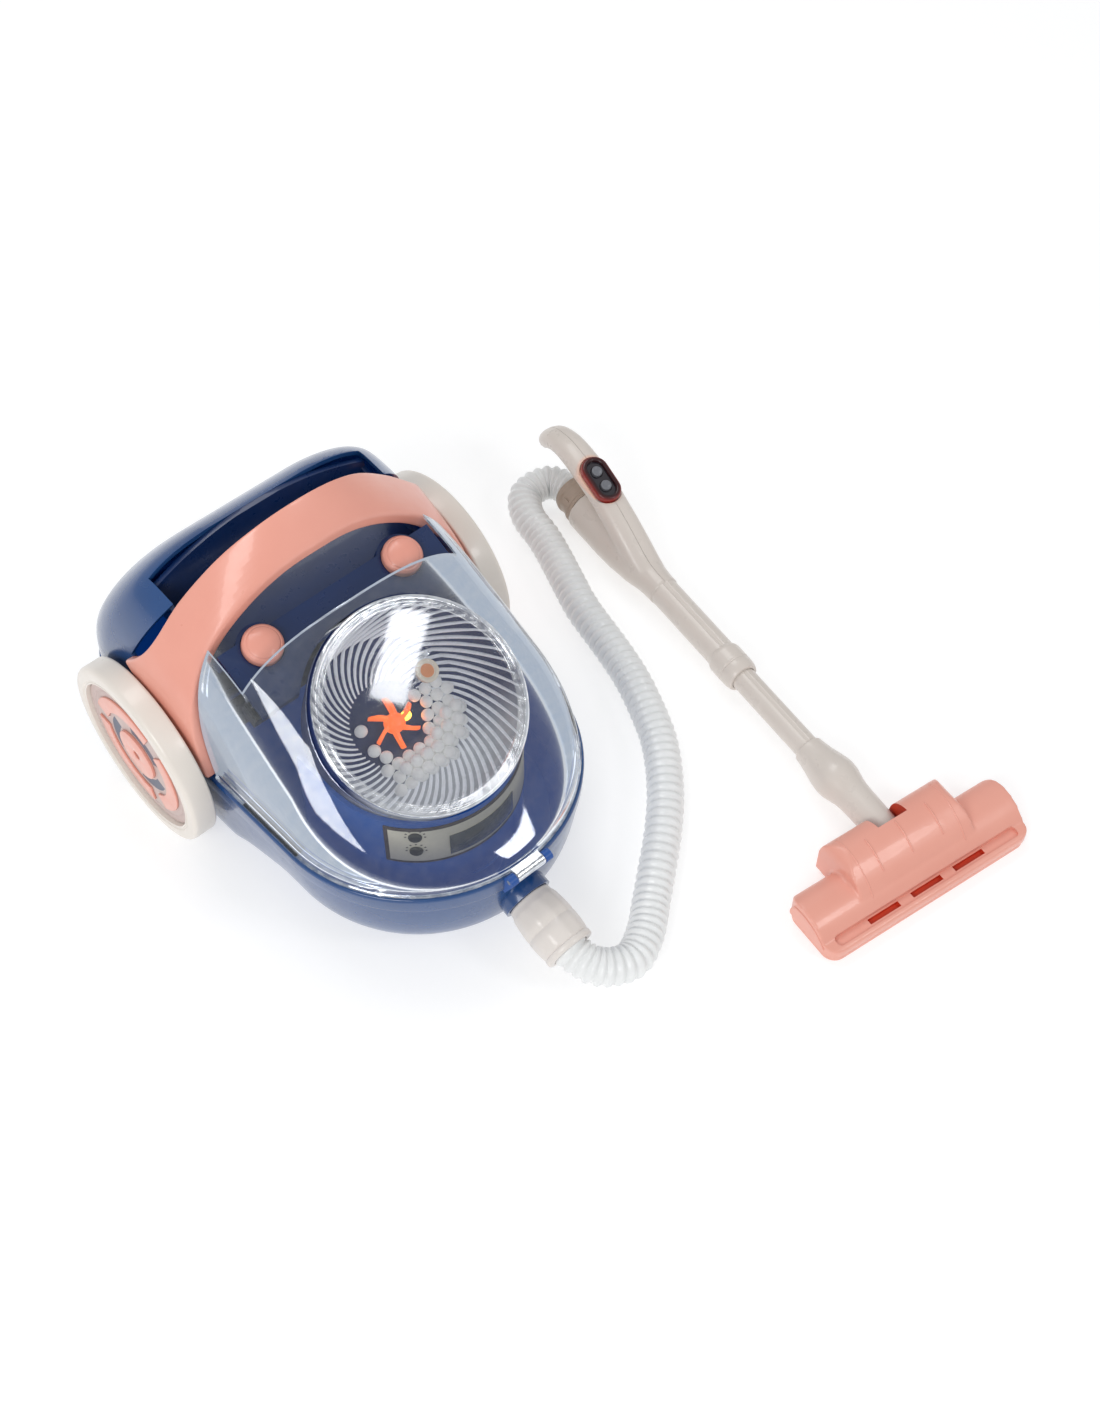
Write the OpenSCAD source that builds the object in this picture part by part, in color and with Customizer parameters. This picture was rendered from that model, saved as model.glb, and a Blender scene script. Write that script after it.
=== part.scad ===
// Toy canister vacuum cleaner: a wheeled canister with a clear dust dome, a ribbed hose,
// a two-part wand with a bow grip and a tilting floor head. Millimetres, +Z up, floor at z = 0.
// The canister faces -Y and the wand lies beside it on the floor.

/* [Wheels] */
// Width over the outer faces of the two rear wheels
track_w = 200; // [196:1:220]
// Radius of each rear wheel
wheel_r = 50; // [46:0.5:54]
// Width of each rear wheel
wheel_w = 13; // [10:0.5:14]
// Radius of the sunk face of a wheel
wheel_face_r = 41; // [34:0.5:43]
// Radius of the steel axle
axle_r = 2.5; // [2:0.1:3.5]
// Radius of the castor roller
roller_r = 7.5; // [6.5:0.1:8]
// Width of the castor roller
roller_w = 10; // [7:0.5:11]

/* [Canister shells] */
// Height of the joint between the tub and the upper shells
rim_z = 60; // [56:0.5:66]
// Height of the underside of the tub
tub_z = 10; // [8:0.5:11]
// Wall thickness of the moulded shells
wall = 2.4; // [1.8:0.1:3]
// Radius of the round nose in plan
nose_r = 79; // [76:0.5:82]
// Distance from the axle forward to the centre of the nose
nose_y = 98; // [92:0.5:104]
// Distance from the axle back to the tail
tail_y = 78; // [70:0.5:86]
// Corner radius of the tail in plan
tail_r = 40; // [30:0.5:44]
// Half width of the tail
tail_half_w = 84.5; // [82:0.5:85]
// Inward lean of the tub wall at the nose
tub_lean = 11; // [6:0.5:14]

/* [Dust cup] */
// Outer radius of the clear cup at its window
cup_r = 52.5; // [48:0.5:54]
// Depth of the cup along its axis
cup_depth = 52; // [46:0.5:54]
// Outer radius of the cup at its floor
cup_floor_r = 45; // [42:0.5:48]
// Wall of the cup
cup_wall = 1.6; // [1.2:0.1:2.2]
// Distance from the axle forward to the middle of the window
window_y = 105; // [102:0.5:108]
// Height of the middle of the window
window_z = 111.4; // [109:0.2:114]
// Backward lean of the window from level
window_tilt = 31.3; // [28:0.1:34]
// Number of swirl ribs on the cup wall
swirl_n = 24; // [12:1:36]
// Radius of a foam bead
bead_r = 3.2; // [2.4:0.1:3.4]

/* [Buttons and deck] */
// Radius of a release button
button_r = 10; // [8:0.1:11]
// Sideways distance of a button from the middle
button_x = 41; // [38:0.5:44]
// Distance from the axle forward to the buttons
button_y = 40; // [38:0.5:44]
// Height of a button above the deck
button_h = 6.5; // [5:0.1:8]
// Travel of a button
button_travel = 3; // [1.5:0.1:3.5]
// Half width of the deck
deck_half_w = 61.5; // [58:0.5:62]

/* [Hose and cuffs] */
// Outer radius of the hose over its ribs
hose_r = 9.7; // [8.5:0.1:9.7]
// Depth of the valleys between the ribs
rib_depth = 1.3; // [0.6:0.1:2]
// Wall of the hose
hose_wall = 0.9; // [0.6:0.1:1.2]
// Ribs between two points of the route
ribs_per_step = 4; // [2:1:6]
// Length of the cuff at the canister
cuff_len = 32; // [28:0.5:34]
// Outer radius of the cuff at its mouth
cuff_r = 13.6; // [12.6:0.1:15]

/* [Wand] */
// Outer radius of the upper tube
upper_r = 8.3; // [8:0.1:9]
// Outer radius of the lower tube
lower_r = 6.9; // [6:0.1:7]
// Wall of the wand tubes
tube_wall = 1.2; // [0.8:0.1:1.4]
// Travel of the lower tube into the upper one
slide_travel = 45; // [20:1:48]
// Outer radius of the hose socket at the grip
socket_r = 13.5; // [13.3:0.1:15]
// Half width of the bow grip
grip_half_w = 9; // [8:0.2:10]
// Half height of the bow grip
grip_half_h = 7; // [6:0.2:8]
// Turn of the wand from straight ahead
wand_yaw = 7; // [0:0.5:12]

/* [Floor head] */
// Length of the floor head
head_w = 128; // [110:1:140]
// Depth of the floor head's bar
head_d = 37; // [34:0.5:42]
// Height of the bar
head_h = 20; // [18:0.5:22]
// Width of the hump over the neck
hump_w = 72; // [60:1:80]
// Height of the hump
hump_h = 30; // [28:0.5:33]
// Radius of the neck pin
pin_r = 2; // [1.5:0.1:2.5]
// Radius of the neck
neck_r = 8; // [7:0.1:8.5]

/* [Hidden] */
$fn = 64;
eps = 0.01;
run = 0.05;           // running clearance of a shaft in its bore
gap = 0.3;            // gap between pieces that move past each other
half_track = track_w / 2;
wheel_in = half_track - wheel_w;
nose_front = nose_y + nose_r;
pin_at = [165, -262];
head_front = head_d - 1;
head_corner = 8;
head_mid_y = 1 - head_d / 2;
yaw = -wand_yaw;

// The floor plan of the whole part is centred on the origin.
function head_reach(along, across) = (head_w / 2 - head_corner) * along + (head_d / 2 - head_corner)
    * across
    + head_corner;
head_mid = [pin_at[0] + head_mid_y * sin(wand_yaw), pin_at[1] + head_mid_y * cos(wand_yaw)];
x_high = head_mid[0] + head_reach(cos(wand_yaw), sin(wand_yaw));
y_low = head_mid[1] - head_reach(sin(wand_yaw), cos(wand_yaw));
stand = [(half_track - x_high) / 2, -(tail_y + y_low) / 2, 0];

module canister() {
    translate(stand) children();
}

module wand() {
    translate(stand + [pin_at[0], pin_at[1], 0]) rotate([0, 0, yaw]) children();
}

// The cup's own frame: z = 0 is the outer face of the window, and -z goes into the cup.
module cup_frame() {
    translate([0, -window_y, window_z]) rotate([window_tilt, 0, 0]) children();
}

// A profile given as [y, z] points, extruded along X and centred.
module along_x(length) {
    translate([-length / 2, 0, 0]) rotate([90, 0, 90]) linear_extrude(length) children();
}

// A turned piece along X, from x0 to x0 + length.
module rod_x(x0, length, radius) {
    translate([x0, 0, 0]) rotate([0, 90, 0]) cylinder(r = radius, h = length);
}

// A turned piece along Y, from y0 to y0 + length, with a second radius at its far end.
module rod_y(y0, length, radius, far = -1) {
    far_r = far < 0 ? radius : far;
    translate([0, y0, 0]) rotate([-90, 0, 0]) cylinder(r1 = radius, r2 = far_r, h = length);
}

module mirrored() {
    children();
    mirror([1, 0, 0]) children();
}

// Plan outline of the canister, as [x, y, outward x, outward y], anticlockwise from the nose.
nose_steps = 9;
side_steps = 7;
tail_steps = 6;
tail_c = [tail_half_w - tail_r, tail_y - tail_r];
side_angle = atan2(tail_c[1] + nose_y, tail_c[0])
    - acos((nose_r - tail_r) / norm([tail_c[0], tail_c[1] + nose_y]));

function on_arc(centre, radius, angle) =
    [centre[0] + radius * cos(angle), centre[1] + radius * sin(angle), cos(angle), sin(angle)];

nose_end = on_arc([0, -nose_y], nose_r, side_angle);
tail_start = on_arc(tail_c, tail_r, side_angle);
plan_half = concat(
    [for (i = [0:nose_steps]) on_arc([0, -nose_y], nose_r, -90 + (90 + side_angle) * i / nose_steps)],
    [for (i = [1:side_steps]) nose_end + (tail_start - nose_end) * i / side_steps],
    [for (i = [1:tail_steps]) on_arc(tail_c, tail_r, side_angle + (90 - side_angle) * i / tail_steps)],
    [[0, tail_y, 0, 1]]);
half_n = len(plan_half);
plan = concat(plan_half, [for (i = [half_n - 2:-1:1]) let (p = plan_half[i]) [-p[0], p[1], -p[2], p[3]]]);

// Height of the upper shells above the rim along the canister's middle line.
roof = [[-177, 12], [-110, 50], [-50, 84], [-20, 91], [0, 93], [25, 91], [45, 76], [60, 56], [78, 32]];
roof_mid = -50;
shoulder = 3;         // squareness of the upper shells' cross-section
function roof_ring(c, inset) = [for (p = plan)
    let (x = (p[0] - inset * p[2]) * c,
         y = roof_mid + (p[1] - inset * p[3] - roof_mid) * c,
         s = pow(1 - pow(c, shoulder), 1 / shoulder))
    [x, y, rim_z + (lookup(y, roof) - inset) * s]];
roof_steps = [1, 0.985, 0.95, 0.88, 0.78, 0.66, 0.52, 0.36, 0.18];

// Triangles between two rings of n points, seen from outside.
function band(n, low, high) = [for (i = [0:n - 1])
    let (j = (i + 1) % n)
    each [[low + i, high + i, high + j], [low + i, high + j, low + j]]];
function turned(faces) = [for (f = faces) [f[0], f[2], f[1]]];

// One closed wall between an outer and an inner surface, each a list of rings from the closed end.
module bowl(outer, inner, outer_end, inner_end, flip = false) {
    n = len(outer[0]);
    k = len(outer);
    m = len(inner);
    in0 = n * k;
    ends = n * (k + m);
    faces = concat(
        [for (r = [0:k - 2]) each band(n, r * n, (r + 1) * n)],
        [for (r = [0:m - 2]) each turned(band(n, in0 + r * n, in0 + (r + 1) * n))],
        [for (i = [0:n - 1]) [ends, i, (i + 1) % n]],
        [for (i = [0:n - 1]) [ends + 1, in0 + (i + 1) % n, in0 + i]],
        band(n, (k - 1) * n, in0 + (m - 1) * n));
    polyhedron(concat([for (r = outer) each r], [for (r = inner) each r], [outer_end, inner_end]),
        flip ? turned(faces) : faces);
}

// Upper envelope of the canister as one thin shell, closed at the top and open at the rim.
module roof_shell() {
    top_first = [for (i = [len(roof_steps) - 1:-1:0]) roof_steps[i]];
    outer = [for (c = top_first) roof_ring(c, 0)];
    inner = [for (c = top_first) roof_ring(c, wall)];
    top = rim_z + lookup(roof_mid, roof);
    bowl(outer, inner, [0, roof_mid, top], [0, roof_mid, top - wall], true);
}

// Parting lines of the upper shells, as [y, z] on the canister's side.
tall = 240;
foot_tip = [-42, rim_z + 2];
foot_back = [14, 101];
ear_top = [-27, 130];
arch_back = [-3, 140];

function lean_line(a, b, z) = a[0] + (b[0] - a[0]) * (z - a[1]) / (b[1] - a[1]);

// Tub: lower shell with wheel bosses, a castor pocket and a battery bay
castor_y = -128;
castor_trail = 6;
castor_pocket_r = 19;
castor_roof = 22;
stem_r = 3;
bay_x = 35;
bay_y = [8, 60];
boss_r = 8;
tub_levels = [[0, 1.18], [2, 1], [8, 0.55], [20, 0.24], [36, 0.06], [50, 0]];
function lean_at(y) = 0.25 + 0.75 * max(0, min(1, (-45 - y) / 40));
function tub_ring(up, share, inset) = [for (p = plan)
    let (d = inset + tub_lean * share * lean_at(p[1]))
    [p[0] - d * p[2], p[1] - d * p[3], up]];
tub_h = rim_z - tub_z;

module tub() {
    outer = [for (l = tub_levels) tub_ring(tub_z + l[0] * tub_h / 50, l[1], 0)];
    inner = [for (l = tub_levels) tub_ring(min(rim_z, tub_z + wall + l[0] * (tub_h - wall) / 50), l[1],
        wall)];
    color("#1d4b83") canister() difference() {
        union() {
            bowl(outer, inner, [0, -60, tub_z], [0, -60, tub_z + wall]);
            translate([0, castor_y, tub_z + eps])
                cylinder(r = castor_pocket_r + wall, h = castor_roof - tub_z + wall);
            translate([0, castor_y, castor_roof]) cylinder(r = stem_r + 4, h = 10);
            mirrored() translate([0, 0, wheel_r])
                rod_x(tail_half_w - 6, wheel_in - gap - tail_half_w + 6, boss_r);
            mirrored() hinge_ear();
        }
        translate([0, castor_y, 0]) cylinder(r = castor_pocket_r, h = castor_roof);
        translate([0, castor_y, castor_roof - 1]) cylinder(r = stem_r + run, h = 12);
        translate([0, 0, wheel_r]) rod_x(-half_track, track_w, axle_r);
        translate([-bay_x, bay_y[0], tub_z - 1]) cube([2 * bay_x, bay_y[1] - bay_y[0], wall + 2]);
        translate([0, hinge_at[0], hinge_at[1]]) rod_x(-30, 60, hinge_r);
        port_frame() translate([0, 0, -20]) cylinder(r = port_plug_r, h = 30);
    }
}

// Dome hinge at the nose: two ears on the tub, a knuckle on the dome and a steel pin
hinge_at = [-(nose_front + 3), rim_z + 0.5];
hinge_r = 1.25;
hinge_eye = 2.9;
ear_x = [8.5, 12.5];

module hinge_ear() {
    translate([ear_x[0], 0, 0]) difference() {
        hull() {
            translate([0, hinge_at[0], hinge_at[1]]) rod_x(0, ear_x[1] - ear_x[0], hinge_eye, $fn = 24);
            translate([0, -nose_front, rim_z - 12]) cube([ear_x[1] - ear_x[0], 2, 9]);
        }
        translate([-1, -nose_front + 1.9, rim_z - 14]) cube([ear_x[1] - ear_x[0] + 2, 10, 30]);
    }
}

module hinge_pin() {
    color("#b9bcc0") canister() translate([0, hinge_at[0], hinge_at[1]])
        rod_x(-ear_x[1], 2 * ear_x[1], hinge_r);
}

// Clear dome over the front of the canister
edge_gap = 1.2;
dome_notch_y = -54;
dome_notch_w = 2 * (deck_half_w + 1.5);
module dome_cover() {
    low = rim_z + 0.4;
    color("#cfdcea", 0.35) canister() difference() {
        union() {
            intersection() {
                roof_shell();
                along_x(tall) polygon([[-tall, low], [foot_tip[0] - edge_gap, low],
                    [ear_top[0] - edge_gap, ear_top[1]], [lean_line(foot_tip, ear_top, tall), tall],
                        [-tall, tall]]);
            }
            difference() {
                hull() {
                    translate([0, hinge_at[0], hinge_at[1]])
                        rod_x(-ear_x[0] + gap, 2 * (ear_x[0] - gap), hinge_eye, $fn = 24);
                    translate([-ear_x[0] + gap, -nose_front + 0.3, low])
                        cube([2 * (ear_x[0] - gap), 1.6, 3]);
                }
                translate([-20, -nose_front - 0.4, 0]) cube([40, 20, low]);
            }
        }
        translate([-dome_notch_w / 2, dome_notch_y, rim_z + 30]) cube([dome_notch_w, 60, tall]);
        cup_frame() translate([0, 0, -60]) cylinder(r = cup_r + 1, h = 90);
        translate([0, hinge_at[0], hinge_at[1]]) rod_x(-30, 60, hinge_r + run);
    }
}

// Rear shell behind the handle, with the finger recess cut out
recess_y = 19;
module rear_shell() {
    color("#1d4b83") canister() difference() {
        intersection() {
            roof_shell();
            along_x(tall) polygon([[foot_tip[0] + 3, rim_z], foot_back + [1.5, -0.5], arch_back + [1, 0],
                [-30, tall], [tall, tall], [tall, rim_z]]);
        }
        translate([-deck_half_w - gap, -60, rim_z + 40])
            cube([2 * (deck_half_w + gap), 60 + recess_y, tall]);
    }
}

// Button deck: sloped panel, hand recess behind it, and a well under each button
deck_front = [-66, 116.5];
deck_back = [-33.5, 129.6];
deck_slope = atan2(deck_back[1] - deck_front[1], deck_back[0] - deck_front[0]);
deck_floor = 118;
cap_depth = 5;
well_depth = cap_depth + button_travel + 6;
stem_w = 4;
function deck_z(y) = deck_front[1] + (y - deck_front[0]) * tan(deck_slope);

module button_frame(side) {
    translate([side * button_x, -button_y, deck_z(-button_y)]) rotate([deck_slope, 0, 0]) children();
}

crown_r = 150;
crown_z = 148;
module button_deck() {
    lip = recess_y - gap;
    color("#173c6b") canister() difference() {
        intersection() {
            union() {
                along_x(2 * deck_half_w) polygon([deck_front, deck_back, [-30, deck_floor],
                    [12.5, deck_floor],
                    [16.2, 147.5], [lip, 148], [lip, 145], [14.9, deck_floor - wall],
                    [-32, deck_floor - wall], [-35.5, 126], deck_front - [0, wall]]);
                mirrored() translate([deck_half_w - wall / 2, 0, 0]) along_x(wall)
                    polygon([[-32, deck_floor - wall],
                    [-29, 118.5], [-5, 127.5], [10, 131], [lip, 133], [14.9, deck_floor - wall]]);
                for (side = [-1, 1]) button_frame(side) translate([0, 0, -well_depth])
                    cylinder(r = button_r + gap + 2, h = well_depth - 1);
            }
            translate([0, 0, crown_z - crown_r]) rod_y(-100, 200, crown_r);
        }
        for (side = [-1, 1]) button_frame(side) {
            translate([0, 0, 2 - well_depth]) cylinder(r = button_r + gap, h = 40);
            translate([0, 0, -30]) cylinder(r = stem_w + gap, h = 40);
        }
        cup_frame() translate([0, 0, -80]) cylinder(r = cup_r + 1.5, h = 120);
    }
}

// Release buttons: domed caps on guided stems, each on a coil spring
spring_r = 6.6;
cap_round = 14;
module button(side) {
    color("#ec9f8a") canister() button_frame(side) {
        intersection() {
            translate([0, 0, -cap_depth]) cylinder(r = button_r, h = cap_depth + button_h);
            translate([0, 0, button_h - cap_round]) sphere(r = cap_round);
        }
        translate([0, 0, -well_depth - 1]) cylinder(r = stem_w, h = well_depth + 1 - cap_depth + eps);
    }
}

module button_spring(side) {
    color("#b9bcc0") canister() button_frame(side) translate([0, 0, 2 - well_depth]) difference() {
        cylinder(r = spring_r, h = well_depth - 2 - cap_depth);
        translate([0, 0, -1]) cylinder(r = spring_r - 1.4, h = well_depth);
    }
}

module left_button() { button(-1); }
module right_button() { button(1); }
module left_button_spring() { button_spring(-1); }
module right_button_spring() { button_spring(1); }

// Black catches that hold the rear corners of the dome
latch_at = [58, -56];
module latch(side) {
    x = side * latch_at[0];
    color("#17181b") canister() translate([x, latch_at[1], deck_z(latch_at[1]) - 14]) difference() {
        rotate([deck_slope, 0, 0]) translate([-6, -5, 0]) cube([12, 10, 10]);
        rotate([deck_slope, 0, 0]) translate([-4, -3, 4]) cube([8, 6, 10]);
    }
}
module left_latch() { latch(-1); }
module right_latch() { latch(1); }

// Carry handle: a hoop over the deck with broad feet on the canister's sides.
// Each station holds its rear edge and its front edge on the right-hand side, foot first.
handle_t = 6;
handle_round = 1.6;
hoop_w = deck_half_w - 1.5;
handle_side = [
    [[86, 14, 101], [84.5, -42, 62]],
    [[85, 7, 108], [84.5, -39, 78]],
    [[81.5, 1, 116], [82.5, -35, 95]],
    [[hoop_w + 15, -2, 125], [hoop_w + 16.5, -31, 111]],
    [[hoop_w, -4, 142], [hoop_w + 2, -28, 130]],
    [[hoop_w * 2 / 3, -11, 163], [hoop_w * 0.7, -29, 147]],
    [[hoop_w / 3, -17, 176], [hoop_w * 0.35, -31, 158]],
    [[0, -19, 180], [0, -32, 161]]];
handle_all = concat(handle_side, [for (i = [len(handle_side) - 2:-1:0]) let (s = handle_side[i])
    [[-s[0][0], s[0][1], s[0][2]], [-s[1][0], s[1][1], s[1][2]]]]);
arch_mid = 96;
function unit(v) = v / norm(v);
function inward(p) = -unit([p[0], 0, max(0, p[2] - arch_mid)]);
function handle_ring(s) = let (a = s[0], b = s[1], u = unit(b - a), ia = inward(a), ib = inward(b),
    r = handle_round)
    [a + ia * r, a + u * r, b - u * r, b + ib * r,
     b + ib * (handle_t - r), b - u * r + ib * handle_t, a + u * r + ia * handle_t,
         a + ia * (handle_t - r)];

module loft(rings) {
    n = len(rings[0]);
    k = len(rings);
    faces = concat([for (r = [0:k - 2]) each band(n, r * n, (r + 1) * n)],
        [for (i = [1:n - 2]) [0, i, i + 1]],
        [for (i = [1:n - 2]) let (o = (k - 1) * n) [o, o + i + 1, o + i]]);
    polyhedron([for (r = rings) each r], faces);
}

module carry_handle() {
    color("#ee9f8a") canister() loft([for (s = handle_all) handle_ring(s)]);
}

// Clear dust cup with swirl ribs, and its window
window_t = 2;
straight_h = 12;
shaft_r = 1.5;
led_r = 2.5;
led_x = 8;
module dust_cup() {
    low_in = cup_floor_r - cup_wall;
    color("#dfe8ef", 0.3) canister() cup_frame() difference() {
        union() {
            rotate_extrude() polygon([[0, -cup_depth], [cup_floor_r, -cup_depth], [cup_r, -straight_h],
                [cup_r, -window_t], [cup_r - cup_wall, -window_t], [cup_r - cup_wall, -straight_h],
                [low_in, -cup_depth + cup_wall], [0, -cup_depth + cup_wall]]);
            for (i = [0:swirl_n - 1]) rotate([0, 0, 360 * i / swirl_n])
                translate([(cup_r + cup_floor_r) / 2 - cup_wall - 0.6, 0, -cup_depth / 2 - 4])
                rotate([24, atan2(cup_r - cup_floor_r, cup_depth - straight_h), 0])
                cube([2, 0.9, cup_depth - 20], center = true);
        }
        translate([0, 0, -cup_depth - 1]) cylinder(r = shaft_r + run, h = 10);
        translate([led_x, 0, -cup_depth - 1]) cylinder(r = led_r, h = 10);
    }
}

module cup_window() {
    color("#e6edf3", 0.3) canister() cup_frame() rotate_extrude()
        polygon([[0, -window_t], [cup_r, -window_t],
        [cup_r, 0], [cup_r - 1.6, 0.8], [cup_r - 4, 0.8], [cup_r - 4.6, 0], [0, 0]]);
}

// Orange spinner on the motor shaft at the cup's floor
spinner_r = 13;
spinner_h = 8;
module spinner() {
    base = cup_wall - cup_depth + 0.5;
    color("#e8663a") canister() cup_frame() {
        translate([0, 0, base]) cylinder(r = 5, h = spinner_h);
        for (a = [0:90:270]) rotate([0, 0, a]) translate([4, -0.8, base])
            cube([spinner_r - 4, 1.6, spinner_h - 2]);
        translate([0, 0, -cup_depth - 8]) cylinder(r = shaft_r, h = 11);
    }
}

// Foam beads lying in the low side of the cup, in two layers
bead_pitch = 2 * bead_r + 0.15;
bead_floor = cup_wall - cup_depth + bead_r + 0.1;
function bead_clear(p) = norm(p) > spinner_r + bead_r + 0.5 && norm(p)
    < cup_floor_r - cup_wall - bead_r - 5.5;
bead_rows = [-5:1:5];
function bead_at(i, j, odd) = [(i + (j % 2 == 0 ? 0 : 0.5) + odd * 0.5) * bead_pitch, (j + odd / 3)
    * bead_pitch * 0.866];
bead_spots = concat(
    [for (j = [-5:1:1]) for (i = bead_rows) let (p = bead_at(i, j, 0))
        if (bead_clear(p) && p[1] < 8 && p[0] > -18) [p[0], p[1], bead_floor]],
    [for (j = [-5:1:-2]) for (i = bead_rows) let (p = bead_at(i, j, 1))
        if (norm(p) < cup_floor_r - 13 && norm(p) > spinner_r + bead_r + 3 && p[0] > -10)
        [p[0], p[1], bead_floor + bead_pitch * 0.8165]]);
module beads() {
    color("#f4f4f2") canister() cup_frame() for (p = bead_spots) translate(p)
        sphere(r = bead_r, $fn = 32);
}

// Round token and clear bar that stand on a post of the cup floor
token_at = [20, 12];
module token() {
    color("#e9dcc4") canister() cup_frame() translate([token_at[0], token_at[1], cup_wall - cup_depth]) {
        cylinder(r = 2, h = 26);
        translate([0, 0, 26 - eps]) cylinder(r = 5.8, h = 2.4);
        translate([-16, 6, 17]) cube([24, 1.6, 7]);
        translate([-1, 0, 18]) cube([2, 7, 3]);
    }
}

// Blue shroud in front of and under the cup, with the control panel on its face
shroud_r = cup_r - 2.5;
shroud_top = window_z - 32.4;
seat_depth = 34;
cup_gap = 0.3;
module shroud_plan(r) {
    end = nose_y + deck_front[0] - 4;
    intersection() {
        translate([0, -nose_y]) circle(r);
        translate([-r, -nose_y - r]) square([2 * r, r + end]);
    }
    translate([-r, -nose_y]) square([2 * r, end]);
}

module cup_room() {
    low = -cup_depth - cup_gap;
    cup_frame() rotate_extrude() polygon([[0, low], [cup_floor_r + cup_gap, low],
        [cup_r + cup_gap, -straight_h], [cup_r + cup_gap, straight_h], [0, straight_h]]);
}

module cup_shroud() {
    low = tub_z + wall;
    color("#1c4a82") canister() difference() {
        union() {
            translate([0, 0, low]) linear_extrude(shroud_top - low) difference() {
                shroud_plan(shroud_r);
                shroud_plan(shroud_r - wall);
            }
            intersection() {
                cup_frame() translate([0, 0, -seat_depth - wall]) cylinder(r = 2 * shroud_r, h = wall);
                translate([0, 0, low]) linear_extrude(shroud_top - low) shroud_plan(shroud_r - wall / 2);
            }
        }
        cup_room();
        linear_extrude(castor_roof + wall + cup_gap) hull()
            for (y = [castor_y, castor_y - 2 * castor_pocket_r])
                translate([0, y]) circle(castor_pocket_r + wall + cup_gap);
    }
}

panel_t = 0.8;
panel_gap = 0.1;
panel_turn = 57;
panel_z = [shroud_top - 32, shroud_top - 3];
dial_turn = 40;
dial_r = 3.4;
dial_z = [shroud_top - 20.5, shroud_top - 9];
screen_turn = 22;
screen_z = [shroud_top - 27.5, shroud_top - 12];
module on_shroud(turn, z) {
    translate([0, -nose_y, z]) rotate([0, 0, turn]) translate([0, -shroud_r, 0]) rotate([90, 0, 0])
        children();
}

module shroud_band(r, thick, z, turn) {
    translate([0, -nose_y, z[0]]) linear_extrude(z[1] - z[0]) intersection() {
        difference() {
            circle(r + thick);
            circle(r);
        }
        polygon([[0, 0], tall * [-sin(turn), -cos(turn)], [0, -2 * tall], tall * [sin(turn), -cos(turn)]]);
    }
}

module control_panel() {
    color("#cfc7b8") canister() shroud_band(shroud_r + panel_gap, panel_t, panel_z, panel_turn);
}

module panel_dials() {
    color("#141416") canister() for (z = dial_z) on_shroud(-dial_turn, z)
        translate([0, 0, panel_t + 2.5 * panel_gap]) cylinder(r1 = dial_r, r2 = dial_r - 0.4, h = 1.4);
}

module panel_screen() {
    color("#2b2c2e") canister() shroud_band(shroud_r + panel_t + 2 * panel_gap, 0.5, screen_z, screen_turn);
}

// Drive motor under the cup in its mount, and the lamp
motor_r = 12;
motor_z = [-cup_depth - 30, -cup_depth - 3];
module drive_motor() {
    color("#9a9da2") canister() cup_frame() difference() {
        translate([0, 0, motor_z[0]]) cylinder(r = motor_r, h = motor_z[1] - motor_z[0]);
        translate([0, 0, motor_z[1] - 6]) cylinder(r = shaft_r + run, h = 10);
    }
}

module motor_mount() {
    color("#26282c") canister() difference() {
        union() {
            cup_frame() translate([0, 0, motor_z[0] + 4]) cylinder(r = motor_r + wall, h = 14);
            translate([-8, -78, tub_z + wall]) cube([16, 20, 32]);
        }
        cup_frame() translate([0, 0, motor_z[0] - 20]) cylinder(r = motor_r, h = 80);
    }
}

module led() {
    color("#f04a1e") canister() cup_frame() translate([led_x, 0, -cup_depth - 2]) {
        cylinder(r = led_r - run, h = 2 + cup_wall);
        cylinder(r = led_r + 0.5, h = 1.95);
    }
}

// Battery bay: box, three cells, contact plates and door
cell_r = 7.1;
cell_len = 50;
box_z = [tub_z + wall + 0.1, tub_z + wall + 18];
cell_pitch = 15.6;
bay_mid = (bay_y[0] + bay_y[1]) / 2;
cell_z = box_z[0] + 1 + cell_r;
module battery_box() {
    color("#2b2d31") canister() difference() {
        translate([-bay_x - 3, bay_y[0] - 3, box_z[0]])
            cube([2 * bay_x + 6, bay_y[1] - bay_y[0] + 6, box_z[1] - box_z[0]]);
        translate([-bay_x + 1, bay_y[0] + 1, box_z[0] - 1])
            cube([2 * bay_x - 2, bay_y[1] - bay_y[0] - 2, box_z[1] - box_z[0] - 1]);
    }
}

module batteries() {
    color("#3d6b4a") canister() for (i = [-1:1]) translate([0, bay_mid + i * cell_pitch, cell_z]) {
        rod_x(-cell_len / 2, cell_len - 1, cell_r);
        rod_x(cell_len / 2 - 1 - eps, 1, 2.7);
    }
}

module battery_contacts() {
    color("#c9a24a") canister() mirrored() translate([cell_len / 2 + 0.2, bay_y[0] + 3, box_z[0] + 1])
        cube([bay_x - 1.2 - cell_len / 2, bay_y[1] - bay_y[0] - 6, 12]);
}

module battery_door() {
    color("#16335a") canister() difference() {
        translate([-bay_x + 0.2, bay_y[0] + 0.2, tub_z])
            cube([2 * bay_x - 0.4, bay_y[1] - bay_y[0] - 0.4, wall]);
        for (i = [-2:2]) translate([-12, bay_y[1] - 10 + i * 2.4, tub_z - 1]) cube([24, 1.2, 1.6]);
        translate([0, bay_y[0] + 7, tub_z - 1]) cylinder(r = 1.6, h = 10);
    }
}

module door_screw() {
    color("#b9bcc0") canister() translate([0, bay_y[0] + 7, tub_z]) {
        cylinder(r = 1.5, h = 2.4);
        translate([0, 0, -0.8]) cylinder(r = 2.8, h = 0.8);
    }
}

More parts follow.
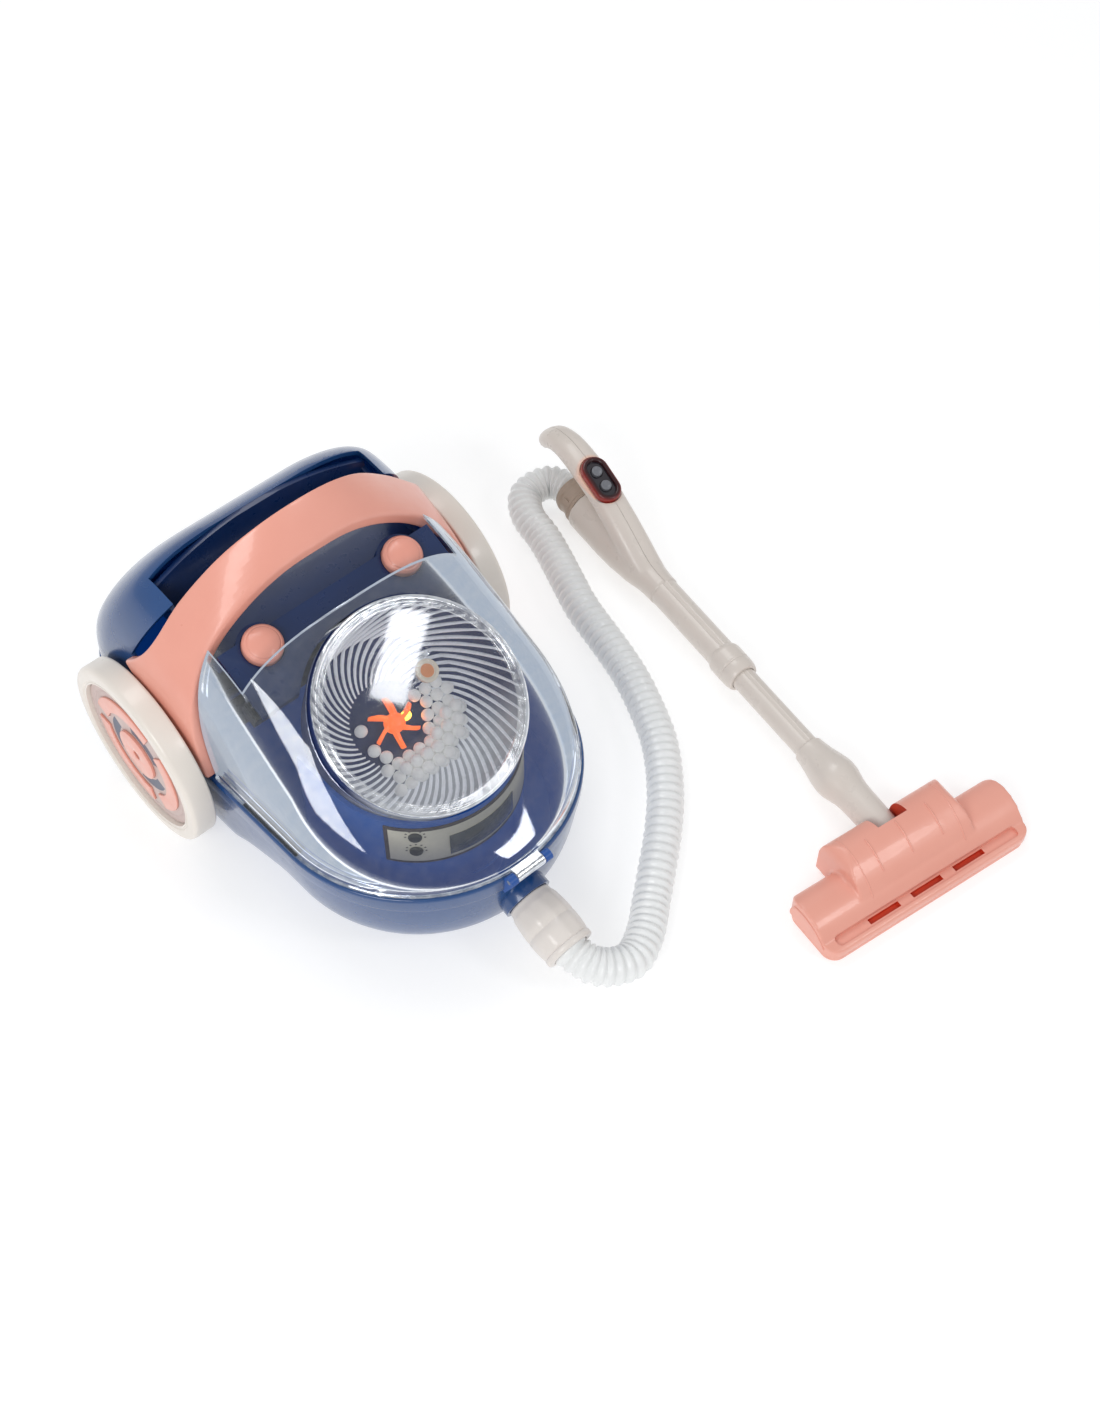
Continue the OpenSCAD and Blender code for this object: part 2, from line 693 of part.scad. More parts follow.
module circuit_board() {
    color("#1f6b3c") canister() {
        translate([-24, bay_y[0] + 6, box_z[1] + 4]) cube([48, 34, 1.6]);
        for (x = [-20, 20]) for (y = [10, 36]) translate([x, bay_y[0] + y, box_z[1]])
            cylinder(r = 2, h = 4 + eps);
        translate([-8, bay_y[0] + 16, box_z[1] + 5.6 - eps]) cube([16, 12, 2]);
    }
}

module speaker() {
    color("#1a1b1d") canister() translate([55, 34, tub_z + wall]) {
        cylinder(r = 14, h = 4);
        translate([0, 0, 4 - eps]) cylinder(r = 8, h = 6);
    }
}

// Rear axle and wheels
module axle() {
    color("#b9bcc0") canister() translate([0, 0, wheel_r]) rod_x(-half_track + 5, track_w - 10, axle_r);
}

face_depth = 4;
edge_r = 4;
module wheel(side) {
    color("#dad3c8") canister() translate([side * wheel_in, 0, wheel_r]) rotate([0, side * 90, 0])
        rotate_extrude()
        difference() {
            union() {
                translate([axle_r + run, 0]) square([wheel_r - axle_r - run, wheel_w - edge_r]);
                translate([axle_r + run, 0]) square([wheel_r - edge_r - axle_r - run, wheel_w]);
                translate([wheel_r - edge_r, wheel_w - edge_r]) circle(r = edge_r);
            }
            translate([-1, wheel_w - face_depth]) square([wheel_face_r + 1, face_depth + 1]);
        }
}

module wheel_disc(side) {
    color("#a9a5a3") canister() translate([side * (half_track - face_depth), 0, wheel_r])
        rotate([0, side * 90, 0])
        difference() {
            cylinder(r = wheel_face_r - 0.2, h = 1.4);
            translate([0, 0, -1]) cylinder(r = axle_r + run, h = 5);
        }
}

module wheel_trim(side) {
    color("#e79583") canister() translate([side * (half_track - face_depth + 1.4), 0, wheel_r])
        rotate([0, side * 90, 0]) {
        for (a = [0:120:240]) rotate([0, 0, a]) intersection() {
            difference() {
                cylinder(r = 33, h = 1.2);
                translate([0, 0, -1]) cylinder(r = 24, h = 5);
            }
            linear_extrude(3) polygon([[0, 0], [60, -34], [70, 30], [20, 60]]);
        }
        difference() {
            cylinder(r = 14, h = 1.6);
            translate([0, 0, -1]) cylinder(r = axle_r + run, h = 5);
        }
    }
}

module left_wheel() { wheel(-1); }
module right_wheel() { wheel(1); }
module left_wheel_disc() { wheel_disc(-1); }
module right_wheel_disc() { wheel_disc(1); }
module left_wheel_trim() { wheel_trim(-1); }
module right_wheel_trim() { wheel_trim(1); }

// Front castor: swivelling fork, roller and roller pin
cheek_t = 2.4;
castor_pin_r = 1.5;
module castor_fork() {
    color("#26282c") canister() translate([0, castor_y, 0]) difference() {
        union() {
            translate([0, 0, castor_roof - 4]) cylinder(r = 15.5, h = 4 - gap);
            translate([0, 0, castor_roof - gap - eps]) cylinder(r = stem_r, h = 9);
            mirrored() translate([roller_w / 2 + gap, 0, 0]) rotate([90, 0, 90]) linear_extrude(cheek_t)
                polygon([[-6, castor_roof - 4 + eps], [castor_trail - 4, 4], [castor_trail + 4, 4],
                    [12, castor_roof - 4 + eps]]);
        }
        translate([0, castor_trail, roller_r]) rod_x(-20, 40, castor_pin_r);
    }
}

module castor_roller() {
    color("#dad3c8") canister() translate([0, castor_y + castor_trail, roller_r]) difference() {
        rod_x(-roller_w / 2, roller_w, roller_r);
        rod_x(-roller_w, 2 * roller_w, castor_pin_r + run);
    }
}

module castor_pin() {
    half = roller_w / 2 + gap + cheek_t;
    color("#b9bcc0") canister() translate([0, castor_y + castor_trail, roller_r])
        rod_x(-half, 2 * half, castor_pin_r);
}

// Hose port on the nose, and the cuff that plugs into it
hose_in = [0, -191, 28];
hose_mouth = [0, -210, 23];
cuff_tilt = atan2(hose_in[2] - hose_mouth[2], hose_in[1] - hose_mouth[1]);
port_plug_r = 9;
port_r = 13;
port_len = 12;

// The port's own frame: +z runs out along the cuff, and z = 0 is the face of the port.
module port_frame() {
    translate(hose_mouth) rotate([90 + cuff_tilt, 0, 0]) translate([0, 0, -cuff_len]) children();
}

module hose_port() {
    color("#1d4b83") canister() difference() {
        port_frame() translate([0, 0, -port_len]) cylinder(r = port_r, h = port_len);
        port_frame() translate([0, 0, -port_len - 20]) cylinder(r = port_plug_r, h = 60);
        bowl([for (l = tub_levels) tub_ring(tub_z + l[0] * tub_h / 50, l[1], -0.05)],
            [for (l = tub_levels) tub_ring(min(rim_z, tub_z + wall + l[0] * (tub_h - wall) / 50), l[1],
                24)],
            [0, -60, tub_z], [0, -60, tub_z + wall]);
    }
}

hose_depth = norm(hose_in - hose_mouth);
module hose_cuff() {
    color("#d9d2c7") canister() port_frame() difference() {
        union() {
            translate([0, 0, -10]) cylinder(r = port_plug_r - run, h = 10 + eps);
            intersection() {
                cylinder(r1 = 11.4, r2 = cuff_r, h = cuff_len);
                linear_extrude(cuff_len) circle(r = cuff_r - 0.2, $fn = 10);
            }
        }
        translate([0, 0, cuff_len - hose_depth]) cylinder(r = hose_r, h = 60);
        translate([0, 0, -20]) cylinder(r = 6, h = 60);
    }
}

// Ribbed hose: hand-chosen route on the floor, from the canister's cuff to the wand's
hose_route = [hose_in, hose_mouth, [6, -223, 18], [21, -229, 14], [37, -222, 11.5], [51, -211, 10],
    [66, -199, 10], [82, -186, 10], [97, -172, 10], [110, -157, 10], [121, -141, 10], [129, -124, 10],
    [136, -106, 10], [141, -88, 10], [145, -69, 10], [149, -50, 10], [155, -32, 10], [161, -15, 10],
    [166, 2, 10.5], [169, 18.5, 11.5], [178, 30.5, 12.5], [193, 29, 13.5], [199, 15, socket_r],
        [196.5, -5, socket_r]];
hose_n = len(hose_route);
hose_sides = 8;
rings_per_step = 2 * ribs_per_step;

function route_at(i) = i < 0 ? 2 * hose_route[0] - hose_route[1]
    : i > hose_n - 1 ? 2 * hose_route[hose_n - 1] - hose_route[hose_n - 2] : hose_route[i];
function straight(i) = i == 0 || i == hose_n - 2;
// Catmull-Rom point between route points i and i + 1; the two end runs stay straight.
function hose_at(i, t) = straight(i) ? route_at(i) + (route_at(i + 1) - route_at(i)) * t
    : let (a = route_at(i - 1), b = route_at(i), c = route_at(i + 1), d = route_at(i + 2))
    0.5 * (2 * b + (c - a) * t + (2 * a - 5 * b + 4 * c - d) * t * t + (3 * b - a - 3 * c + d)
        * t * t * t);
hose_line = concat([for (i = [0:hose_n - 2]) for (k = [0:rings_per_step - 1])
    hose_at(i, k / rings_per_step)],
    [hose_route[hose_n - 1]]);
line_n = len(hose_line);
function heading(k) = unit(hose_line[min(k + 1, line_n - 1)] - hose_line[max(k - 1, 0)]);
function hose_ring(k, radius) = let (t = heading(k), s = unit(cross(t, [0, 0, 1])), u = cross(s, t))
    [for (i = [0:hose_sides - 1]) let (a = 360 * (i + 0.5) / hose_sides)
        hose_line[k] + radius * (cos(a) * s + sin(a) * u)];
function rib_r(k) = k % 2 == 0 ? hose_r - rib_depth : hose_r;

module hose() {
    n = hose_sides;
    outer = [for (k = [0:line_n - 1]) hose_ring(k, rib_r(k))];
    inner = [for (k = [0:line_n - 1]) hose_ring(k, rib_r(k) - hose_wall)];
    in0 = n * line_n;
    last = n * (line_n - 1);
    faces = concat(
        [for (k = [0:line_n - 2]) each turned(band(n, k * n, (k + 1) * n))],
        [for (k = [0:line_n - 2]) each band(n, in0 + k * n, in0 + (k + 1) * n)],
        band(n, 0, in0),
        turned(band(n, last, in0 + last)));
    color("#eceeee") canister() polyhedron(concat([for (r = outer) each r], [for (r = inner) each r]),
        faces);
}

// Wand: the axis lies at the socket's radius above the floor, and y runs from the neck pin to the grip
axis_z = socket_r;
collar_y = [120, 138];
tube_end = 236;
lower_end = tube_end - slide_travel - 15;
elbow_end = 62;
socket_y = [236, 264];
cuff_seat = 250;
wand_cuff_end = 279;
wand_cuff_r = 11.6;

module wand_axis() {
    translate([0, 0, axis_z]) children();
}

module upper_tube() {
    color("#d9d2c7") wand() wand_axis() difference() {
        rod_y(collar_y[0] + 8, tube_end - collar_y[0] - 8, upper_r);
        rod_y(collar_y[0], tube_end, lower_r + 0.3);
    }
}

module tube_collar() {
    color("#d3ccc1") wand() wand_axis() difference() {
        union() {
            rod_y(collar_y[0], collar_y[1] - collar_y[0], upper_r + 1.4);
            rod_y(collar_y[0] - 1.5, 1.5 + eps, upper_r + 0.4, upper_r + 1.4);
        }
        rod_y(collar_y[0] - 5, 60, lower_r + run);
        rod_y(collar_y[0] + 8, 60, upper_r);
    }
}

module lower_tube() {
    color("#d9d2c7") wand() wand_axis() difference() {
        rod_y(elbow_end - 14, lower_end - elbow_end + 14, lower_r);
        rod_y(0, 260, lower_r - tube_wall);
    }
}

// Elbow: swollen knuckle at the end of the lower tube with the neck that enters the head
neck_z = 15;
module elbow() {
    bulge_r = 11.6;
    bulge_y = 42;
    color("#d6cfc4") wand() difference() {
        union() {
            wand_axis() translate([0, bulge_y, 1]) sphere(r = bulge_r);
            wand_axis() rod_y(bulge_y, elbow_end - bulge_y, bulge_r - 1.2, lower_r + 1.2);
            translate([0, 0, neck_z]) rod_y(0, bulge_y - 2, neck_r, neck_r + 1.4);
            translate([0, 0, neck_z]) rod_x(-neck_r, 2 * neck_r, neck_r);
        }
        wand_axis() rod_y(elbow_end - 14, 60, lower_r);
        wand_axis() rod_y(14, 60, lower_r - tube_wall);
        translate([0, 0, neck_z]) rod_x(-30, 60, pin_r + run);
    }
}

module neck_pin() {
    color("#b9bcc0") wand() translate([0, 0, neck_z]) rod_x(-neck_r - 7, 2 * neck_r + 14, pin_r);
}

// Floor head: top shell with the hump, three dust slots and raised ribs, and its sole
sole_t = 2.6;
slot_w = neck_r + 1.2;
bar_top = [[-head_front, sole_t], [-head_front, 8], [-head_front + 2, 9.5], [-head_front + 7, 10],
    [-24, 15.5],
    [-18, head_h - 1.2], [-12, head_h], [-6, head_h - 0.8], [-1, head_h - 4], [1, head_h - 9],
        [1, sole_t]];
hump_top = [[12, sole_t], [12, hump_h - 11], [10, hump_h - 5], [5, hump_h - 1], [-1, hump_h],
    [-8, hump_h - 1.5],
    [-18, hump_h - 8], [-24, 14], [-24, sole_t]];
head_wall = 2;
module head_plan(inset) {
    a = head_w / 2 - head_corner;
    b = head_d / 2 - head_corner;
    translate([0, head_mid_y, 0]) linear_extrude(60) union() {
        square([2 * a, 2 * (b + head_corner - inset)], center = true);
        square([2 * (a + head_corner - inset), 2 * b], center = true);
        for (x = [-a, a]) for (y = [-b, b]) translate([x, y]) circle(r = head_corner - inset);
    }
}

function sunk(path, d) = [for (p = path) [p[0] * (1 - d / 25), max(sole_t - 1, p[1] - d)]];

module head_top() {
    hump_edge = 9;
    color("#e59683") wand() difference() {
        union() {
            intersection() {
                along_x(head_w + 2) polygon(bar_top);
                head_plan(0);
            }
            intersection() {
                along_x(hump_w) polygon(hump_top);
                translate([0, 40, 0]) rotate([90, 0, 0]) linear_extrude(100) union() {
                    translate([-hump_w / 2, 0]) square([hump_w, hump_h - hump_edge]);
                    translate([-hump_w / 2 + hump_edge, 0]) square([hump_w - 2 * hump_edge, hump_h]);
                    for (x = [-1, 1]) translate([x * (hump_w / 2 - hump_edge), hump_h - hump_edge])
                        circle(r = hump_edge);
                }
            }
            for (x = [-19, 0, 19]) translate([x - 0.8, -17, 4]) cube([1.6, 16, hump_h - 4.2]);
        }
        intersection() {
            along_x(head_w - 2 * head_wall) polygon(sunk(bar_top, head_wall));
            head_plan(head_wall);
        }
        along_x(hump_w - 2 * head_wall - 2)
            polygon(concat([[10, 0]], [for (p = hump_top) [p[0] * 0.86 - 0.5, p[1] - 2.4]]));
        translate([0, 0, neck_z]) rod_x(-neck_r - gap - 0.1, 2 * (neck_r + gap + 0.1),
            neck_r + gap + 0.1);
        translate([-slot_w, -1, neck_z - slot_w]) cube([2 * slot_w, 40, 40]);
        translate([0, 0, neck_z]) rod_x(-neck_r - 7.05, 2 * neck_r + 14.1, pin_r);
        for (x = [-40, 0, 40]) translate([x - 13, -31, 8]) rotate([-30, 0, 0]) cube([26, 3.6, 14]);
    }
}

module pin_bosses() {
    color("#dc8d7a") wand() mirrored() translate([neck_r + gap + 0.2, 0, 0]) difference() {
        translate([0, -4, sole_t]) cube([6, 8, neck_z + 3]);
        translate([-5, 0, neck_z]) rod_x(0, 30, pin_r);
    }
}

module head_sole() {
    color("#c9816f") wand() difference() {
        intersection() {
            head_plan(0.6);
            translate([-head_w, -60, 0]) cube([2 * head_w, 120, sole_t - eps]);
        }
        translate([-48, -head_front + 8, -1]) cube([96, 9, 10]);
    }
}

// Grip: bow above the hose socket, moulded in two halves that meet on the wand's middle plane.
// Each station of the bow is [y, z, half height], and a ring of it is one half of an oval.
bow = [[204, 15, 7], [216, 21, 7.2], [230, 30, grip_half_h], [246, 38.5, grip_half_h],
    [262, 44, grip_half_h],
    [278, 47, 6.6], [290, 45.5, 6.2], [299, 40, 5.6], [304, 33, 4.6]];
seam = 0.02;          // half of the joint between the grip halves
bow_sides = 8;
function bow_dir(i) = let (a = bow[max(i - 1, 0)], b = bow[min(i + 1, len(bow) - 1)])
    unit([0, b[0] - a[0], b[1] - a[1]]);
function bow_ring(i) = let (t = bow_dir(i), u = [0, -t[2], t[1]], h = bow[i][2],
    w = grip_half_w * h / grip_half_h)
    [for (k = [0:bow_sides]) let (a = 90 - 180 * k / bow_sides)
        [max(seam, w * cos(a)), bow[i][0], bow[i][1]] + h * sin(a) * u];

plate_at = [254, 41.6];
plate_lean = atan2(bow[4][1] - bow[3][1], bow[4][0] - bow[3][0]);
plate_len = 23;
plate_w = 10.4;
plate_t = 2.6;
key_r = 3;
key_gap = 9.4;

// The plate's own frame: x across, y along the bow, z = 0 on the plate's top.
module plate_frame() {
    translate([0, plate_at[0], plate_at[1]]) rotate([plate_lean, 0, 0])
        translate([0, 0, grip_half_h + 0.2]) children();
}

module stadium(length, width) {
    r = width / 2;
    union() {
        square([width, length - width], center = true);
        for (s = [-1, 1]) translate([0, s * (length - width) / 2]) circle(r = r);
    }
}

module grip_half() {
    difference() {
        union() {
            loft([for (i = [0:len(bow) - 1]) bow_ring(i)]);
            difference() {
                union() {
                    wand_axis() rod_y(196, 16, upper_r + 0.6, socket_r - 2);
                    wand_axis() rod_y(212 - eps, socket_y[0] - 212, socket_r - 2, socket_r);
                    wand_axis() rod_y(socket_y[0] - eps, socket_y[1] - socket_y[0], socket_r);
                }
                translate([seam - 60, 150, -10]) cube([60, 200, 100]);
            }
        }
        wand_axis() rod_y(190, tube_end - 190, upper_r);
        wand_axis() rod_y(190, 100, lower_r);
        wand_axis() rod_y(cuff_seat, 60, wand_cuff_r);
        plate_frame() translate([0, 0, -plate_t]) linear_extrude(20) stadium(plate_len + 3, plate_w + 3);
        for (s = [-1, 1]) plate_frame() translate([0, s * key_gap / 2, -plate_t - 1.6])
            cylinder(r = key_r + gap, h = 10);
    }
}

module grip_right() {
    color("#d9d2c7") wand() grip_half();
}

module grip_left() {
    color("#d5cec3") wand() mirror([1, 0, 0]) grip_half();
}

module plate_rim() {
    color("#b8402f") wand() plate_frame() translate([0, 0, -plate_t]) difference() {
        linear_extrude(plate_t) stadium(plate_len + 3, plate_w + 3);
        translate([0, 0, -1]) linear_extrude(10) stadium(plate_len, plate_w);
    }
}

module control_plate() {
    color("#161618") wand() plate_frame() translate([0, 0, -plate_t]) difference() {
        linear_extrude(plate_t - 0.2) stadium(plate_len, plate_w);
        for (s = [-1, 1]) translate([0, s * key_gap / 2, -1]) cylinder(r = key_r + 0.25, h = 10);
    }
}

module key(s) {
    color("#7c8086") wand() plate_frame() translate([0, s * key_gap / 2, -plate_t])
        cylinder(r = key_r, h = plate_t + 0.8);
}
module front_key() { key(-1); }
module rear_key() { key(1); }

// Cuff that joins the hose to the grip's socket
module wand_cuff() {
    color("#a8978a") wand() wand_axis() difference() {
        union() {
            rod_y(cuff_seat, wand_cuff_end - cuff_seat, wand_cuff_r);
            rod_y(socket_y[1], 4, wand_cuff_r + 1);
        }
        rod_y(wand_cuff_end - 20.2, 40, hose_r);
        rod_y(200, 100, 6);
    }
}

// Shell screws seen on the tub's underside
module shell_screws() {
    color("#9a9da2") canister() for (x = [-58, 58]) for (y = [-30, 60]) translate([x, y, tub_z - 1])
        cylinder(r = 2.6, h = 1);
}

tub();
hinge_pin();
dome_cover();
rear_shell();
button_deck();
left_button();
right_button();
left_button_spring();
right_button_spring();
left_latch();
right_latch();
carry_handle();
dust_cup();
cup_window();
spinner();
beads();
token();
cup_shroud();
control_panel();
panel_dials();
panel_screen();
drive_motor();
motor_mount();
led();
battery_box();
batteries();
battery_contacts();
battery_door();
door_screw();
circuit_board();
speaker();
axle();
left_wheel();
right_wheel();
left_wheel_disc();
right_wheel_disc();
left_wheel_trim();
right_wheel_trim();
castor_fork();
castor_roller();
castor_pin();
hose_port();
hose_cuff();
hose();
upper_tube();
tube_collar();
lower_tube();
elbow();
neck_pin();
head_top();
pin_bosses();
head_sole();
grip_right();
grip_left();
plate_rim();
control_plate();
front_key();
rear_key();
wand_cuff();
shell_screws();
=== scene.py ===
import math

import bpy
from mathutils import Matrix, Vector


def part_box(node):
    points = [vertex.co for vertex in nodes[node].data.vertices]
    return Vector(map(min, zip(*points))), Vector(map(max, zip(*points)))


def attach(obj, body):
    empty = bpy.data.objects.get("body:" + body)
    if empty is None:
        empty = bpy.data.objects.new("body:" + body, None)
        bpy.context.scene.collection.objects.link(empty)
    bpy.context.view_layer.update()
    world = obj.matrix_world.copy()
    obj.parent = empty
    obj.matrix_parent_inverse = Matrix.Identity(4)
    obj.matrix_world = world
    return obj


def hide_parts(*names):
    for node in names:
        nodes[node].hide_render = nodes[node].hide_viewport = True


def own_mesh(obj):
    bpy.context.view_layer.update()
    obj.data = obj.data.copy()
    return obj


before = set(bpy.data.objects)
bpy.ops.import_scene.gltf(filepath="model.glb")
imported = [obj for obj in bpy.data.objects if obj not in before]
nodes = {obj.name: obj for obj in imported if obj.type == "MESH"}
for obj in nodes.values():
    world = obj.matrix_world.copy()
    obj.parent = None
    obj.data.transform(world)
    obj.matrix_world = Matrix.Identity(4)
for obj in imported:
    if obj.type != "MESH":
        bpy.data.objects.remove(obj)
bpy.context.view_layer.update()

# Camera: it stands high above the canister's front left corner and looks down on the set.
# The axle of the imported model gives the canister's own frame, and tones are shown as they are.
MM = 0.001


def middle(node):
    low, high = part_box(node)
    return (Vector(low) + Vector(high)) / 2


axle_at = middle("axle")


def canister(x, y, z):
    """A point of the canister, in millimetres from the axle's middle and the floor."""
    return Vector((axle_at.x + x * MM, axle_at.y + y * MM, z * MM))


camera_turn = math.radians(-41.0)
camera_rise = math.radians(53.98)
camera_reach = 1.05632
camera_aim = canister(95.25, -85.18, 0)
camera_back = Vector((
    math.sin(camera_turn) * math.cos(camera_rise),
    -math.cos(camera_turn) * math.cos(camera_rise),
    math.sin(camera_rise)))


def placed(name, data):
    """A new object of the scene."""
    made = bpy.data.objects.new(name, data)
    bpy.context.scene.collection.objects.link(made)
    return made


lens = bpy.data.cameras.new("camera")
lens.lens = 50.63
lens.clip_start = 0.01
camera = placed("camera", lens)
camera.location = camera_aim + camera_back * camera_reach
camera.rotation_euler = camera_back.to_track_quat("Z", "Y").to_euler()
bpy.context.scene.camera = camera
bpy.context.scene.view_settings.view_transform = "Standard"

# Floor and light: a white lit table under the set, an even white tent round it,
# and soft boxes that leave bright windows on the clear and glossy plastic.


class Value:
    """A socket's output that takes plus, minus, times and power signs."""

    def __init__(self, finish, link):
        self.finish = finish
        self.link = link

    def sum(self, operation, a, b=0.0):
        return self.finish.node("ShaderNodeMath", {"operation": operation}, {0: a, 1: b})

    def __add__(self, other):
        return self.sum("ADD", self, other)

    __radd__ = __add__

    def __sub__(self, other):
        return self.sum("SUBTRACT", self, other)

    def __rsub__(self, other):
        return self.sum("SUBTRACT", other, self)

    def __mul__(self, other):
        return self.sum("MULTIPLY", self, other)

    __rmul__ = __mul__

    def __pow__(self, other):
        return self.sum("POWER", self, other)

    def over(self, level):
        return self.sum("GREATER_THAN", self, level)

    def size(self):
        return self.sum("ABSOLUTE", self)

    def bearing(self, other):
        return self.sum("ARCTAN2", self, other)

    def cosine(self):
        return self.sum("COSINE", self)

    def clamp(self):
        return self.finish.node("ShaderNodeClamp", None, {0: self})


class Finish:
    """One material, with each of its nodes made by the same method."""

    def __init__(self, name):
        self.material = bpy.data.materials.new(name)
        self.material.use_nodes = True
        self.tree = self.material.node_tree
        self.shader = self.tree.nodes["Principled BSDF"]

    def node(self, kind, settings=None, inputs=None, output=0):
        made = self.tree.nodes.new(kind)
        for key, setting in (settings or {}).items():
            setattr(made, key, setting)
        for key, given in (inputs or {}).items():
            if isinstance(given, Value):
                self.tree.links.new(given.link, made.inputs[key])
            else:
                made.inputs[key].default_value = given
        return Value(self, made.outputs[output])

    def spot(self):
        return self.node("ShaderNodeTexCoord", output="Object")

    def axes(self, centre):
        """The three coordinates of a point, in millimetres from the centre."""
        away = self.node("ShaderNodeVectorMath", {"operation": "SUBTRACT"}, {0: self.spot(), 1: centre})
        return [self.node("ShaderNodeSeparateXYZ", None, {0: away}, k) * 1000.0 for k in range(3)]

    def noise(self, scale, detail=3.0, where=None):
        return self.node("ShaderNodeTexNoise", None,
                         {"Vector": where or self.spot(), "Scale": scale, "Detail": detail})

    def mix(self, share, a, b):
        return self.node("ShaderNodeMix", {"data_type": "RGBA"}, {0: share, 6: a, 7: b}, 2)

    def bump(self, height, strength, depth):
        return self.node("ShaderNodeBump", None, {"Height": height, "Strength": strength, "Distance": depth})

    def set(self, **sockets):
        for key, given in sockets.items():
            socket = self.shader.inputs[key.replace("_", " ")]
            if isinstance(given, Value):
                self.tree.links.new(given.link, socket)
            else:
                socket.default_value = given
        return self


def tint(r, g, b):
    """A colour as it reads on screen, from 0 to 255, turned into light values."""
    return tuple(((c / 255 + 0.055) / 1.055) ** 2.4 if c > 10 else c / 255 / 12.92 for c in (r, g, b)) + (1.0,)


bpy.ops.object.select_all(action="DESELECT")
bpy.ops.mesh.primitive_plane_add(size=8)
floor = bpy.context.object
floor.name = "floor"
paper = Finish("floor_paper")
fibre = paper.noise(240.0, 5.0)
paper.set(Base_Color=paper.mix(fibre, (0.53, 0.53, 0.53, 1), (0.57, 0.57, 0.57, 1)), Roughness=0.8,
          Emission_Color=(1, 1, 1, 1), Emission_Strength=0.55)
floor.data.materials.append(paper.material)

world = bpy.data.worlds.new("studio")
bpy.context.scene.world = world
world.use_nodes = True
tent = world.node_tree.nodes["Background"].inputs
tent["Color"].default_value = (0.97, 0.985, 1.0, 1)
tent["Strength"].default_value = 0.55
lamp_reach = 1.5


def soft_box(name, aim, toward, along, width, length, radiance):
    """A rectangular lamp at its reach from the aim; its length runs along the second direction."""
    lamp = bpy.data.lights.new(name, "AREA")
    lamp.shape = "RECTANGLE"
    lamp.size = width
    lamp.size_y = length
    lamp.energy = radiance * math.pi * width * length
    holder = placed(name, lamp)
    away = Vector(toward).normalized()
    side = Vector(along).cross(away).normalized()
    holder.location = aim + away * lamp_reach
    holder.rotation_euler = Matrix((side, away.cross(side), away)).transposed().to_euler()


soft_box("window_strip", canister(5, -84, 124), (0.343, -0.467, 0.815), (0.74, 0.64, 0.2), 0.045, 0.115, 8)
soft_box("left_box", canister(-60, -95, 105), (-0.68, -0.36, 0.60), (0.2, 0.45, 0.87), 0.75, 0.6, 6)
soft_box("right_box", canister(0, -160, 76), (0.36, -0.68, 0.64), (0.5, 0.3, -0.2), 0.26, 0.34, 9)
soft_box("ceiling_box", canister(80, -90, 40), (0.1, 0.5, 1.0), (0, 1, 0), 0.9, 0.5, 3)

# Ribbed hose: blow-moulded white vinyl, translucent, pushed into a cuff at each end.
# It lies on the floor from the canister's nose round to the wand's grip.
hose_route = [
    (0, -191, 28), (0, -210, 23), (6, -223, 18), (21, -229, 14), (37, -222, 11.5), (51, -211, 10),
    (66, -199, 10), (82, -186, 10), (97, -172, 10), (110, -157, 10), (121, -141, 10), (129, -124, 10),
    (136, -106, 10), (141, -88, 10), (145, -69, 10), (149, -50, 10), (155, -32, 10), (161, -15, 10),
    (166, 2, 10.5), (169, 18.5, 11.5), (178, 30.5, 12.5), (193, 29, 13.5), (199, 15, 13.5), (196.5, -5, 13.5)]
hose_points = [canister(*p) for p in hose_route]
hose_r = 9.7 * MM
hose_valley = 1.5 * MM
ribs_per_step = 4


def smooth_line(points, steps, straight_ends=False):
    """Points of a smooth curve through the given ones, with so many steps between two of them."""
    last = len(points) - 1
    line = []
    for i in range(last):
        b, c = points[i], points[i + 1]
        a = points[i - 1] if i > 0 else 2 * b - c
        d = points[i + 2] if i + 2 <= last else 2 * c - b
        for k in range(steps):
            t = k / steps
            if straight_ends and i in (0, last - 1):
                line.append(b + (c - b) * t)
            else:
                line.append(0.5 * (2 * b + (c - a) * t + (2 * a - 5 * b + 4 * c - d) * t * t
                                   + (3 * b - a - 3 * c + d) * t ** 3))
    return line + [points[last].copy()]


def drape(name, rows, closed=True, capped=False):
    """A grid whose rows of vertices are laid along rows of points; closed rows join end to end."""
    bpy.ops.object.select_all(action="DESELECT")
    rows = [list(row) + [row[0]] if closed else list(row) for row in rows]
    bpy.ops.mesh.primitive_grid_add(x_subdivisions=len(rows[0]) - 1, y_subdivisions=len(rows) - 1, size=1)
    piece = bpy.context.object
    piece.name = name
    piece.data.vertices.foreach_set("co", [c for row in rows for p in row for c in p])
    piece.data.update()
    bpy.ops.object.mode_set(mode="EDIT")
    bpy.ops.mesh.select_all(action="SELECT")
    bpy.ops.mesh.remove_doubles(threshold=0.000002)
    if capped:
        bpy.ops.mesh.select_all(action="SELECT")
        bpy.ops.mesh.fill_holes(sides=0)
    bpy.ops.mesh.select_all(action="SELECT")
    bpy.ops.mesh.normals_make_consistent(inside=False)
    bpy.ops.object.mode_set(mode="OBJECT")
    piece.data.shade_smooth()
    return piece


def pick(piece):
    """Makes the piece the only selected and the active one."""
    bpy.ops.object.select_all(action="DESELECT")
    bpy.context.view_layer.objects.active = piece
    piece.select_set(True)


def work(piece, kind, **settings):
    """Adds a modifier to the piece and applies it."""
    pick(piece)
    modifier = piece.modifiers.new(kind.lower(), kind)
    for key, setting in settings.items():
        setattr(modifier, key, setting)
    bpy.ops.object.modifier_apply(modifier=modifier.name)
    return piece


